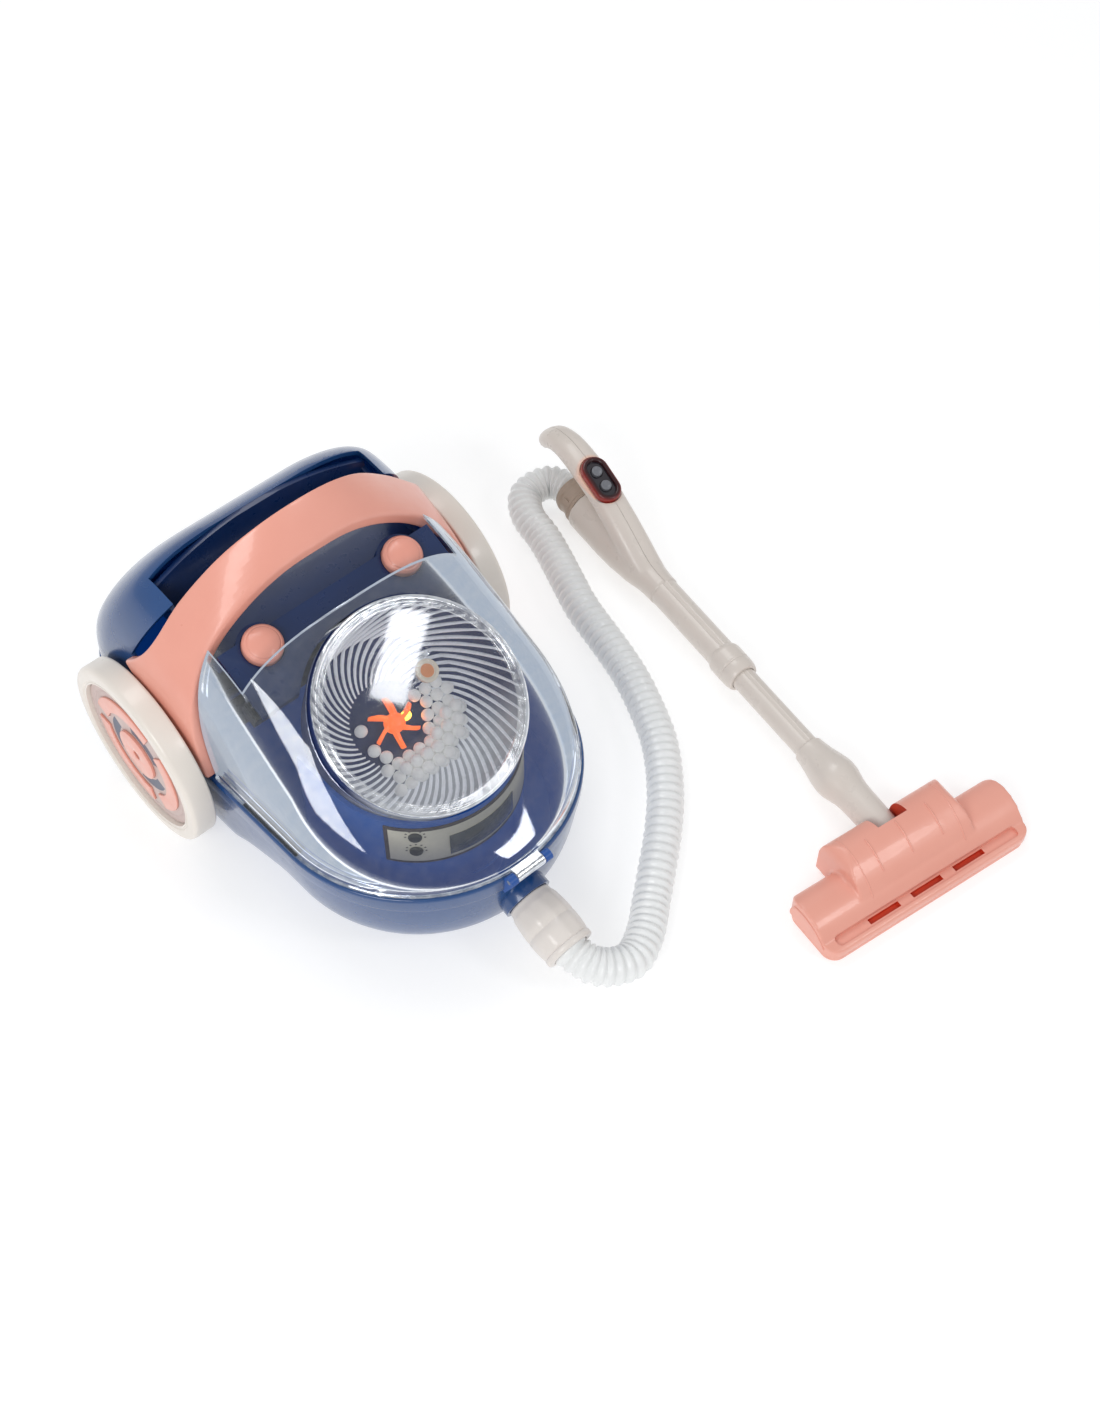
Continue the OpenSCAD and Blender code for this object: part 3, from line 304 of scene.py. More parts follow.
def crease(piece, degrees=35):
    """Smooth shading that keeps edges sharper than the angle."""
    pick(piece)
    bpy.ops.object.shade_smooth_by_angle(angle=math.radians(degrees))
    return piece


def paint(piece, material):
    piece.data.materials.clear()
    piece.data.materials.append(material)


def dress(piece, material, stands_for, body="canister"):
    """Gives a piece its material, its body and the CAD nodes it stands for."""
    if material:
        paint(piece, material)
    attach(piece, body)
    if stands_for:
        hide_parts(*stands_for)
    return piece


def swept(line, radius_at, sides):
    """Rings of points round a line, with the radius given for each ring's number."""
    rows = []
    for i, place in enumerate(line):
        ahead = (line[min(i + 1, len(line) - 1)] - line[max(i - 1, 0)]).normalized()
        side = ahead.cross(Vector((0, 0, 1))).normalized()
        up = side.cross(ahead)
        r = radius_at(i)
        rows.append([place + r * (math.cos(a) * side + math.sin(a) * up)
                     for a in (math.tau * k / sides for k in range(sides))])
    return rows


rings_per_rib = 8
hose_line = smooth_line(hose_points, ribs_per_step * rings_per_rib, True)


def rib_radius(i):
    crest = 0.5 + 0.5 * math.cos(math.tau * i / rings_per_rib)
    return hose_r - hose_valley * (1 - crest ** 0.7)


hose_skin = drape("hose_skin", swept(hose_line, rib_radius, 28))
vinyl = Finish("hose_vinyl")
grime = vinyl.noise(60.0, 5.0)
vinyl.set(Base_Color=vinyl.mix(grime, tint(240, 241, 240), tint(228, 229, 229)), Roughness=0.28 + grime * 0.16,
          Normal=vinyl.bump(vinyl.noise(700.0), 0.12, 0.0003), Subsurface_Weight=0.25,
          Subsurface_Radius=(0.006, 0.006, 0.006), Coat_Weight=0.2)
dress(hose_skin, vinyl.material, ["hose"])

# Tub: the canister's lower shell, injection-moulded in glossy blue plastic, with a proud rim band.
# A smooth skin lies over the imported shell's flats, and the rim folds over into a ledge for the dome.
nose_at, nose_r = -98, 79
tail_x, tail_yc, tail_r = 44.5, 38, 40
nose_steps, side_steps, corner_steps, back_steps = 44, 30, 22, 8
side_angle = math.degrees(math.atan2(tail_yc - nose_at, tail_x)
                          - math.acos((nose_r - tail_r) / math.hypot(tail_x, tail_yc - nose_at)))


def plan_arc(x, y, r, degrees):
    a = math.radians(degrees)
    return (x + r * math.cos(a), y + r * math.sin(a), math.cos(a), math.sin(a))


def canister_plan():
    """Outline seen from above, as x, y and the outward direction, anticlockwise from the nose."""
    half = [plan_arc(0, nose_at, nose_r, -90 + (90 + side_angle) * i / nose_steps) for i in range(nose_steps + 1)]
    start, end = half[-1], plan_arc(tail_x, tail_yc, tail_r, side_angle)
    half += [tuple(a + (b - a) * i / side_steps for a, b in zip(start, end)) for i in range(1, side_steps)]
    half += [plan_arc(tail_x, tail_yc, tail_r, side_angle + (90 - side_angle) * i / corner_steps)
             for i in range(corner_steps + 1)]
    half += [(tail_x * (1 - i / back_steps), tail_yc + tail_r, 0, 1) for i in range(1, back_steps + 1)]
    return half + [(-x, y, -nx, ny) for x, y, nx, ny in half[-2:0:-1]]


plan = canister_plan()
foot_z, foot_draw = 10, 11
tub_lean = [(0, 1.18), (2, 1), (8, 0.55), (20, 0.24), (36, 0.06), (50, 0)]
flank_share, nose_from, nose_run = 0.25, -45, 40


def between(knots, at):
    """Smooth value between knots of a table."""
    for i in range(len(knots) - 1):
        (x0, y0), (x1, y1) = knots[i], knots[i + 1]
        if at <= x1 or i == len(knots) - 2:
            before = knots[max(i - 1, 0)]
            after = knots[min(i + 2, len(knots) - 1)]
            m0 = (y1 - before[1]) / (x1 - before[0])
            m1 = (after[1] - y0) / (after[0] - x0)
            w = x1 - x0
            t = min(max((at - x0) / w, 0), 1)
            return ((2 * t ** 3 - 3 * t ** 2 + 1) * y0 + (t ** 3 - 2 * t ** 2 + t) * w * m0
                    + (3 * t ** 2 - 2 * t ** 3) * y1 + (t ** 3 - t ** 2) * w * m1)


def tub_row(z, outset):
    row = []
    for x, y, nx, ny in plan:
        share = flank_share + (1 - flank_share) * min(max((nose_from - y) / nose_run, 0), 1)
        d = foot_draw * between(tub_lean, min(max(z - foot_z, 0), tub_lean[-1][0])) * share - outset
        row.append(canister(x - d * nx, y - d * ny, z))
    return row


def rounded(path, radius, steps=4, closed=False):
    """A path of flat points with its corners rounded; a third number is a point's own radius."""
    out = []
    for i, p in enumerate(path):
        here = Vector(p[:2])
        if not closed and i in (0, len(path) - 1):
            out.append(tuple(here))
            continue
        back = Vector(path[i - 1][:2]) - here
        ahead = Vector(path[(i + 1) % len(path)][:2]) - here
        reach = min(p[2] if len(p) > 2 else radius, back.length * 0.49, ahead.length * 0.49)
        a, b = here + back.normalized() * reach, here + ahead.normalized() * reach
        for k in range(steps + 1):
            t = k / steps
            out.append(tuple(a * (1 - t) ** 2 + here * 2 * t * (1 - t) + b * t * t))
    return out


tub_path = ([(9.9, -8), (9.9, -0.6), (10.2, 0.1)]
            + [(foot_z + h, 0.12) for h in (1, 2, 3.5, 5, 7, 9, 12, 16, 21, 27, 33, 38)]
            + rounded([(49, 0.12), (49.8, 0.2), (50.4, 1.0), (58.9, 1.1), (60.2, 0.3, 1.4), (60.2, -2.2), (59.6, -2.7),
                       (50, -2.75)], 0.6))
tub_skin = drape("tub_skin", [tub_row(z, outset) for z, outset in tub_path])


def moulded(name, colour, shade, roughness, peel=0.15, coat=0.0):
    """Injection-moulded plastic: faint flow clouds, handling marks in the gloss and a fine skin."""
    finish = Finish(name)
    clouds = finish.noise(22.0, 4.0)
    marks = finish.noise(160.0, 6.0)
    skin = finish.noise(900.0, 2.0)
    share = ((clouds - 0.35) * 1.6 * (0.7 + marks * 0.6)).clamp()
    finish.set(Base_Color=finish.mix(share, tint(*colour), tint(*shade)),
               Roughness=roughness * 0.8 + (marks ** 2) * roughness * 0.8,
               Normal=finish.bump(skin + marks * 0.5, peel, 0.0002),
               Coat_Weight=coat, Coat_Roughness=0.04)
    return finish.material


blue = moulded("blue_shell", (26, 72, 128), (20, 58, 108), 0.24, 0.06, 0.5)
navy = moulded("navy_deck", (16, 44, 92), (10, 34, 74), 0.3, 0.06, 0.2)
dress(tub_skin, blue, ())
# The tub's inside glows a faint blue: painted light, standing for the light that comes in through the clear dome.
inside = Finish("blue_inside_painted_glow")
shine = inside.noise(22.0, 4.0)
inside.set(Base_Color=inside.mix(shine, tint(26, 78, 144), tint(18, 62, 122)), Roughness=0.3 + shine * 0.1,
           Emission_Color=inside.mix(shine, tint(10, 58, 132), tint(6, 46, 110)), Emission_Strength=0.45)
paint(nodes["tub"], inside.material)


def plan_strip(name, spots, section):
    """A strip that follows the plan, with its section given as height and outset."""
    return drape(name, [[canister(x + out * nx, y + out * ny, z) for z, out in section]
                        for x, y, nx, ny in spots], capped=True)


# Dark strips lie on the ledge at both sides, where the dome's lower edge shows dark slits.
dark_strip_finish = moulded("dark_strip_black", (22, 23, 26), (14, 15, 17), 0.55, 0.3)
dark_strip_section = rounded([(60.0, -0.5), (60.9, -0.5), (60.9, -2.5), (60.0, -2.5)], 0.25, 2, True)
dark_strip_spots = {
    "left_dark_strip": [p for p in plan if p[0] < -60 and -106 < p[1] < -60],
    "right_dark_strip": [p for p in plan if p[0] > 60 and -140 < p[1] < -60]}
for dark_strip_name, spots in dark_strip_spots.items():
    dress(plan_strip(dark_strip_name, spots, dark_strip_section), dark_strip_finish, ())

# Dome: the clear cover over the front, moulded in bright styrene with a lip along its lower edge.
# It hangs on a steel pin at the nose, and its two hooks snap into black catches.
rim_z, crown_y, roof_steps, dome_wall = 60, -50, 44, 1.6
roof_knots = [(-177, 12), (-110, 50), (-50, 84), (-20, 91), (0, 93), (25, 91), (45, 76), (60, 56), (78, 32)]


def roof_row(turn, outset):
    """A row round the upper shells: turn runs from the rim at 0 to the crown at a right angle."""
    c, s = math.cos(turn) ** (2 / 3), math.sin(turn) ** (2 / 3)
    row = []
    for x, y, nx, ny in plan:
        along = crown_y + (y + outset * ny - crown_y) * c
        row.append(canister((x + outset * nx) * c, along, rim_z + (between(roof_knots, along) + outset) * s))
    return row


roof_turns = [math.pi / 2 * (i / roof_steps) ** 1.5 for i in range(1, roof_steps)] + [math.pi / 2 - 0.0004]


def prism(name, outline, low, high, place):
    """A straight bar: its outline is drawn flat, and place sets outline and height in the scene."""
    return crease(drape(name, [[place(a, b, h) for a, b in outline] for h in (low, high)], capped=True), 20)


def cut(piece, cutter, operation="DIFFERENCE"):
    """Takes the cutter out of the piece, and its faces keep the cutter's material."""
    work(piece, "BOOLEAN", object=cutter, operation=operation, solver="EXACT", material_mode="TRANSFER")
    bpy.data.objects.remove(cutter)
    return piece


def clear(name, haze, gloss, tone):
    """Clear styrene seen as a thin sheet: it mirrors more at a slant, with fine rub marks. A faint glow in its tone,
    stronger at a slant and on the marks, is painted sheen.
    """
    finish = Finish(name)
    rub_marks_and_painted_sheen = finish.noise(260.0, 5.0)
    slant = finish.node("ShaderNodeFresnel", None, {"IOR": 1.5})
    veil_and_painted_sheen = (slant * 1.2 + (rub_marks_and_painted_sheen ** 2) * haze).clamp()
    finish.set(Base_Color=finish.mix(rub_marks_and_painted_sheen, tone, (1, 1, 1, 1)), Metallic=1.0,
               Roughness=0.02 + (rub_marks_and_painted_sheen ** 3) * gloss, Alpha=veil_and_painted_sheen,
               Emission_Color=finish.mix(veil_and_painted_sheen, (0, 0, 0, 1), tone), Emission_Strength=0.1)
    return finish.material


dome_clear = clear("dome_clear", 0.06, 0.1, (0.82, 0.88, 0.96, 1))
# edge_clear's heavy haze and faint glow whiten what it covers: painted highlight along the dome's rim and cut faces,
# its knuckle and hooks, the window's rim and the token bar.
edge_clear = clear("edge_clear", 1.6, 0.3, (0.9, 0.94, 1.0, 1))


def side_view(a, b, h):
    return canister(h, a, b)


def bevelled(piece, width, segments, degrees):
    """Rounds the piece's edges that are sharper than the angle."""
    return work(piece, "BEVEL", width=width * MM, segments=segments, limit_method="ANGLE",
                angle_limit=math.radians(degrees), use_clamp_overlap=True)


cup_lean = math.radians(31.3)
cup_y, cup_z = -105, 111.4


def cup(x, y, z):
    """A point of the dust cup, whose own z runs up through the middle of its window."""
    return canister(x, cup_y + y * math.cos(cup_lean) - z * math.sin(cup_lean),
                    cup_z + y * math.sin(cup_lean) + z * math.cos(cup_lean))


def circle(r, count):
    return [(r * math.cos(math.tau * k / count), r * math.sin(math.tau * k / count)) for k in range(count)]


def plan_row(z, outset):
    return [canister(x + outset * nx, y + outset * ny, z) for x, y, nx, ny in plan]


dome = drape("dome_sheet", [plan_row(60.5, -0.3), plan_row(62.2, -0.3), plan_row(62.7, -1.0)]
             + [roof_row(t, -1.0) for t in roof_turns if math.sin(t) ** (2 / 3) > 0.08])
dome.data.materials.append(dome_clear)
dome.data.materials.append(edge_clear)
work(dome, "SOLIDIFY", thickness=dome_wall * MM, offset=-1, material_offset_rim=1)
for cutter in (
        prism("dome_rear_cut", [(-44.2, 50), (-44.2, 60.4), (-29.2, 130), (-6, 240), (200, 240), (200, 50)],
              -150, 150, side_view),
        prism("dome_notch_cut", [(-54, 90), (-54, 240), (20, 240), (20, 90)], -63, 63, side_view),
        prism("dome_cup_cut", circle(53.5, 96), -60, 30, cup)):
    cutter.data.materials.append(edge_clear)
    cut(dome, cutter)
crease(dome, 40)
dress(dome, None, ["dome_cover"], "dome")

pin_y, pin_z, knuckle_r = -180, 60.9, 2.9
knuckle_path = [(pin_y + knuckle_r * math.cos(a), pin_z + knuckle_r * math.sin(a)) for a in
                (math.radians(k) for k in range(70, 291, 20))]
knuckle = prism("dome_knuckle", knuckle_path + [(-177.4, 60.6), (-176.2, 63.4)], -8.2, 8.2, side_view)
dress(crease(bevelled(knuckle, 0.4, 2, 40)), edge_clear, (), "dome")

# Hooks: two clear tabs at the rear corners of the dome, bent down into the catches.
# Each is one bent strip of the dome's own styrene.
HANDS = ((-1, "left"), (1, "right"))
hook_x, hook_half = 58, 4.6
hook_path = rounded([(-53.4, 121.6), (-55.2, 120.6), (-57.0, 113.5), (-54.6, 112.4), (-54.2, 114.0),
                     (-55.6, 114.8), (-54.0, 119.4), (-52.6, 120.2)], 0.7, 3, True)
for side, hand in HANDS:
    hook = prism(hand + "_hook", hook_path, side * hook_x - hook_half, side * hook_x + hook_half, side_view)
    dress(crease(bevelled(hook, 0.3, 2, 50)), edge_clear, (), "dome")

steel = Finish("steel_bright")
drawn = steel.noise(900.0, 2.0)
steel.set(Base_Color=steel.mix(drawn, tint(196, 198, 202), tint(160, 163, 168)), Metallic=1.0,
          Roughness=0.22 + drawn * 0.2, Normal=steel.bump(drawn, 0.1, 0.0001))
paint(nodes["hinge_pin"], steel.material)

# Rear shell: the blue upper half behind the handle, with the finger recess opened in its front.
# Its edges are rolled over a generous radius, as the mould leaves them.
rear_wall, recess_half = 2.4, 61.8
rear = drape("rear_shell_skin", [plan_row(60.05, 0)] + [roof_row(t, 0.05) for t in roof_turns])
work(rear, "SOLIDIFY", thickness=rear_wall * MM, offset=-1)
rear_front = [(-250, 40), (-39, 40), (-39, 60), (15.5, 100.5), (-2, 140), (-30, 240), (-250, 240)]
cut(rear, prism("rear_front_cut", rear_front, -150, 150, side_view))
rear_recess = [(-90, 100), (19, 100), (19, 240), (-90, 240)]
cut(rear, prism("rear_recess_cut", rear_recess, -recess_half, recess_half, side_view))
dress(crease(bevelled(rear, 1.0, 3, 50), 50), blue, ["rear_shell"])

# Button deck: navy panel that closes the top between the dome and the recess.
# It is one moulding with a well under each button, and its edges are softly rounded.


def eased(node, width, material, body="canister", segments=3):
    """Stands in for a CAD node with a copy whose triangles are joined up and edges rounded."""
    piece = placed(node + "_moulding", nodes[node].data.copy())
    pick(piece)
    bpy.ops.mesh.customdata_custom_splitnormals_clear()
    bpy.ops.object.mode_set(mode="EDIT")
    bpy.ops.mesh.select_all(action="SELECT")
    bpy.ops.mesh.remove_doubles(threshold=0.000005)
    bpy.ops.mesh.dissolve_limited(angle_limit=math.radians(0.6))
    bpy.ops.object.mode_set(mode="OBJECT")
    return dress(crease(bevelled(piece, width, segments, 30)), material, [node], body)


eased("button_deck", 0.9, navy)

# Catches: two black pockets under the dome's rear corners that hold its hooks.
# Each is a small glass-filled moulding screwed under the deck.
catch_black = moulded("catch_black", (24, 25, 28), (15, 16, 18), 0.4, 0.2)
for name in ("left_latch", "right_latch"):
    eased(name, 0.5, catch_black)

# Release buttons: salmon caps on guided stems, each with a domed top inside a fine step.
# A coil of spring wire under each cap pushes it back up.
salmon = moulded("salmon_gloss", (236, 164, 146), (226, 150, 132), 0.32, 0.08, 0.25)
deck_front, deck_back = (-66, 116.5), (-33.5, 129.6)
deck_slope = math.atan2(deck_back[1] - deck_front[1], deck_back[0] - deck_front[0])
button_x, button_y = 41, -40
button_z = deck_front[1] + (button_y - deck_front[0]) * math.tan(deck_slope)
cap_path = rounded(
    [(0, 6.4), (3, 6.2), (5.6, 5.6), (7.6, 4.8), (8.1, 4.2, 0.3), (8.7, 4.1, 0.5), (10, 2.9, 1.4), (10, -4.9),
     (4, -5), (4, -14.6), (0, -14.8)], 0.8)
spring_r, wire_r, spring_low, spring_rise = 5.9, 0.55, -11.6, 6.2
turn_steps, coil_steps = 20, 90


def turned(name, profile, place, sides=72):
    """A piece turned on a lathe: its profile is radius and height, and place sets it in the scene."""
    return drape(name, [[place(r * c, r * s, h) for c, s in circle(1, sides)] for r, h in profile])


for side, hand in HANDS:
    def on_button(x, y, z, side=side):
        return canister(side * button_x + x, button_y + y * math.cos(deck_slope) - z * math.sin(deck_slope),
                        button_z + y * math.sin(deck_slope) + z * math.cos(deck_slope))

    cap = turned(hand + "_button_cap", cap_path, on_button)
    dress(crease(cap, 40), salmon, [hand + "_button"], hand + "_button_body")
    coil = []
    for k in range(coil_steps + 1):
        x, y = circle(spring_r, turn_steps)[k % turn_steps]
        coil.append(on_button(x, y, spring_low + spring_rise * k / coil_steps))
    wire = drape(hand + "_button_coil", swept(coil, lambda i: wire_r * MM, 8), capped=True)
    dress(wire, steel.material, [hand + "_button_spring"])
    tuple((on_button(0, 0, 1) - on_button(0, 0, 0)).normalized())
    tuple(on_button(0, 0, -12))
    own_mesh(wire)

# Carry handle: a broad salmon hoop with feet that clasp the canister's sides.
# It is one hollow-backed moulding, crowned across its width and rounded along both edges.
handle_side = [
    ((86, 14, 101), (84.5, -42, 62)), ((85, 7, 108), (84.5, -39, 78)), ((81.5, 1, 116), (82.5, -35, 95)),
    ((75, -2, 125), (76.5, -31, 111)), ((60, -4, 142), (62, -28, 130)), ((40, -11, 163), (42, -29, 147)),
    ((20, -17, 176), (21, -31, 158)), ((0, -19, 180), (0, -32, 161))]
handle_pairs = handle_side + [tuple((-x, y, z) for x, y, z in pair) for pair in handle_side[-2::-1]]
handle_rear = smooth_line([Vector(pair[0]) for pair in handle_pairs], 10)
handle_front = smooth_line([Vector(pair[1]) for pair in handle_pairs], 10)
handle_t, handle_edge, handle_crown, shoulder_z = 6, 1.8, 0.9, 96


def handle_inward(p):
    return -Vector((p.x, 0, max(0, p.z - shoulder_z))).normalized()


handle_rows = []
for a, b in zip(handle_rear, handle_front):
    wide = (b - a).length
    crown = [(wide * k / 8, -handle_crown * (1 - (k / 4 - 1) ** 2)) for k in range(1, 8)]
    section = rounded([(0, 0, handle_edge)] + crown + [(wide, 0, handle_edge), (wide, handle_t, handle_edge),
                                                       (0, handle_t, handle_edge)], 0.2, 4, True)
    handle_rows.append([canister(*((a.lerp(b, s / wide) + handle_inward(a).lerp(handle_inward(b), s / wide) * d)))
                        for s, d in section])
handle = drape("handle_hoop", handle_rows, capped=True)
dress(crease(bevelled(handle, 0.8, 3, 60), 40), salmon, ["carry_handle"])

# Dust cup: a tapered bucket of dark blue see-through styrene, set slantwise in the shroud.
# Swirl ribs on its wall and floor catch the light as white lines: painted highlight, a frosted white finish with a
# faint glow on the ribs.
# A clear window with a double rim is pressed into its top.
cup_wall, cup_floor, cup_lip = 1.6, -50.4, -2.2
mouth_r, foot_r, straight_z = 50.9, 43.4, -12
cup_clear = clear("cup_clear", 0.05, 0.08, (0.88, 0.92, 0.98, 1))
smoke = Finish("cup_smoke")
sy, sz = smoke.axes(tuple(cup(0, 0, 0)))[1:]
low_side = ((sy * math.cos(cup_lean) + sz * math.sin(cup_lean)) * -0.05 - 0.55).clamp()
streak = smoke.noise(150.0, 4.0)
# The bucket turns grey-white towards its low side, and it glows faintly in both tones: the glow is painted light.
smoke.set(Base_Color=smoke.mix(low_side * (streak * 0.5 + 0.5), tint(12, 32, 82), tint(200, 203, 206)),
          Roughness=0.45 + streak * 0.1, Specular_IOR_Level=0.2, Alpha=0.92,
          Emission_Color=smoke.mix(low_side, tint(6, 24, 70), tint(120, 122, 124)), Emission_Strength=0.25)
bucket_path = [(0, cup_floor - cup_wall), (foot_r + cup_wall, cup_floor - cup_wall, 2),
               (mouth_r + cup_wall, straight_z), (mouth_r + cup_wall, cup_lip),
               (mouth_r, cup_lip), (mouth_r, straight_z), (foot_r, cup_floor, 2), (0, cup_floor)]
bucket = turned("cup_bucket", rounded(bucket_path, 0.5), cup, 96)
dress(crease(bucket), smoke.material, ["dust_cup"])

# The ribs' white and their faint glow are painted highlight lines.
frost_and_painted_glint = Finish("rib_frost_painted_glint")
cloud = frost_and_painted_glint.noise(200.0, 4.0)
frost_and_painted_glint.set(Base_Color=frost_and_painted_glint.mix(cloud, tint(250, 251, 253), tint(214, 218, 226)), Roughness=0.2 + cloud * 0.2,
          Alpha=(cloud * 0.5 + 0.55).clamp(), Emission_Color=tint(240, 243, 250), Emission_Strength=0.22)
rib_count, wall_twist, floor_twist = 52, math.radians(34), math.radians(30)
rib_top, rib_drop, rib_sunk, wall_steps = -5, 44.5, 0.5, 12
floor_r, floor_run, floor_lift, floor_steps = 42.8, 21, 0.6, 8
rib_run = []
for j in range(wall_steps + 1):
    down = j / wall_steps
    z = rib_top - rib_drop * down
    taper = max(0, straight_z - z) / (straight_z - cup_floor)
    rib_run.append((mouth_r - (mouth_r - foot_r) * taper - rib_sunk, wall_twist * down ** 1.2, z))
for j in range(1, floor_steps + 1):
    across = j / floor_steps
    rib_run.append((floor_r - floor_run * across, wall_twist + floor_twist * across, cup_floor + floor_lift))


def rib_half(i):
    return (0.4 + 0.62 * math.sin(math.pi * (i + 0.6) / (len(rib_run) + 0.2))) * MM


ribs = []
for k in range(rib_count):
    start = math.tau * k / rib_count
    path = [cup(reach * math.cos(start + turn), reach * math.sin(start + turn), z) for reach, turn, z in rib_run]
    ribs.append(drape("cup_rib", swept(path, rib_half, 6), capped=True))


def join(pieces, name):
    """Makes one object of several."""
    bpy.ops.object.select_all(action="DESELECT")
    for piece in pieces:
        piece.select_set(True)
    bpy.context.view_layer.objects.active = pieces[0]
    bpy.ops.object.join()
    pieces[0].name = name
    return pieces[0]


dress(join(ribs, "cup_ribs"), frost_and_painted_glint.material, ())

window_rim_r = 46.6
window_path = [(0, -2), (51.4, -2), (52.4, -2), (52.4, 0.2, 0.3), (51.2, 1.0, 0.4), (49.6, 1.0, 0.4), (49.2, 0.3, 0.2),
               (48.4, 0.3, 0.2), (48.0, 0.9, 0.3), (47.0, 0.9, 0.3), (46.4, 0), (45.4, 0), (0, 0)]
window = turned("window_disc", rounded(window_path, 0.3, 3), cup, 112)
window.data.materials.append(cup_clear)
window.data.materials.append(edge_clear)
window_middle = cup(0, 0, 0)
for face in window.data.polygons:
    face.material_index = 1 if (face.center - window_middle).length > window_rim_r * MM else 0
dress(crease(window), None, ["cup_window"])

# Spinner, lamp and shaft: an orange fan on the motor shaft, lit from below by a small lamp.
# Translucent orange styrene lets the light through to the beads and the ribs.
# The fan's orange glow is painted light, standing for the lamp's light through it.
glow = Finish("spinner_orange")
warm = glow.noise(120.0, 3.0)
glow.set(Base_Color=glow.mix(warm, tint(238, 96, 50), tint(214, 70, 34)), Roughness=0.3,
         Emission_Color=glow.mix(warm, tint(240, 90, 40), tint(250, 140, 50)), Emission_Strength=0.9,
         Normal=glow.bump(warm, 0.1, 0.0002))
hub_path = [(0, -41.6), (2.6, -41.8), (4.6, -43.4), (5, -46), (5, -49.8), (0, -49.8)]
blades = [turned("spinner_hub", rounded(hub_path, 0.8), cup, 40)]
blade_count, blade_root, blade_bend = 6, 4, 0.035
blade_path = rounded([(blade_root, -49.6), (blade_root, -43.6), (9, -43.9), (13, -46.4), (13, -49.6)], 0.9, 3, True)
for k in range(blade_count):
    def on_blade(a, b, h, turn=math.tau * k / blade_count):
        lean = turn + blade_bend * (a - blade_root)
        return cup(a * math.cos(lean) - h * math.sin(lean), a * math.sin(lean) + h * math.cos(lean), b)

    blades.append(prism("spinner_blade", blade_path, -0.8, 0.8, on_blade))
spinner = join(blades, "spinner_fan")
dress(crease(spinner), glow.material, ["spinner"], "spinner_body")
lamp_glow = Finish("lamp_glow")
core = lamp_glow.noise(300.0, 2.0)
lamp_glow.set(Base_Color=tint(255, 190, 80), Roughness=0.3, Emission_Strength=6.0,
              Emission_Color=lamp_glow.mix(core, tint(255, 200, 70), tint(255, 150, 40)))
lamp_path = [(0, -46.2), (1.4, -46.6), (2.3, -48.0), (2.45, -52), (3, -52), (3, -54), (0, -54)]
lamp_dome = turned("lamp_lens", rounded(lamp_path, 0.4), lambda x, y, z: cup(x + 8, y, z), 28)
dress(lamp_dome, lamp_glow.material, ["led"])

# Foam beads: expanded polystyrene balls that whirl in the cup, lying in its low side.
# They are slightly uneven and dimpled.
bead_r, bead_pitch = 3.2, 6.55
row_step, layer_step = bead_pitch * 0.866, bead_pitch * 0.8165
bead_low = cup_floor + bead_r + 0.1


def bead_spot(i, j, odd):
    return ((i + (0 if j % 2 == 0 else 0.5) + odd * 0.5) * bead_pitch, (j + odd / 3) * row_step)


bead_spots = []
for j in range(-5, 2):
    for i in range(-5, 6):
        x, y = bead_spot(i, j, 0)
        if 16.7 < math.hypot(x, y) < 34.7 and y < 8 and x > -18:
            bead_spots.append((x, y, bead_low))
for j in range(-5, -1):
    for i in range(-5, 6):
        x, y = bead_spot(i, j, 1)
        if 19.2 < math.hypot(x, y) < 32 and x > -10:
            bead_spots.append((x, y, bead_low + layer_step))
foam = Finish("bead_foam")
cells = foam.node("ShaderNodeTexVoronoi", None, {"Vector": foam.spot(), "Scale": 900.0})
speck = foam.noise(90.0, 2.0)
# The beads' faint glow is painted light that brightens them deep in the cup.
foam.set(Base_Color=foam.mix(speck, tint(250, 250, 248), tint(236, 236, 234)), Roughness=0.6,
         Emission_Color=tint(240, 242, 244), Emission_Strength=0.08,
         Normal=foam.bump(cells, 0.35, 0.0003), Subsurface_Weight=0.3, Subsurface_Radius=(0.002, 0.002, 0.002))
bpy.ops.object.select_all(action="DESELECT")
bpy.ops.mesh.primitive_ico_sphere_add(subdivisions=3, radius=bead_r * MM)
first_bead = bpy.context.object
first_bead.data.shade_smooth()
bead_copies = []
for k, spot in enumerate(bead_spots):
    bead = placed("bead", first_bead.data.copy())
    squeeze = 1 + 0.04 * math.sin(7.3 * k)
    bead.data.transform(Matrix.Translation(cup(*spot)) @ Matrix.Rotation(k * 1.7, 4, "X")
                        @ Matrix.Diagonal((squeeze, 1.0, 2 - squeeze, 1)))
    bead_copies.append(bead)
bpy.data.objects.remove(first_bead)
dress(join(bead_copies, "foam_beads"), foam.material, ["beads"])

# Token: a cream button with an orange middle on a clear post, and a clear bar on an arm beside it.
# All of it is press-fitted into the cup's floor.
cream = moulded("cream_gloss", (232, 224, 215), (222, 214, 204), 0.32, 0.08, 0.2)
token_x, token_y, token_spot_r = 20, 12, 3.4


def on_token(x, y, z):
    return cup(x + token_x, y + token_y, z + cup_floor)


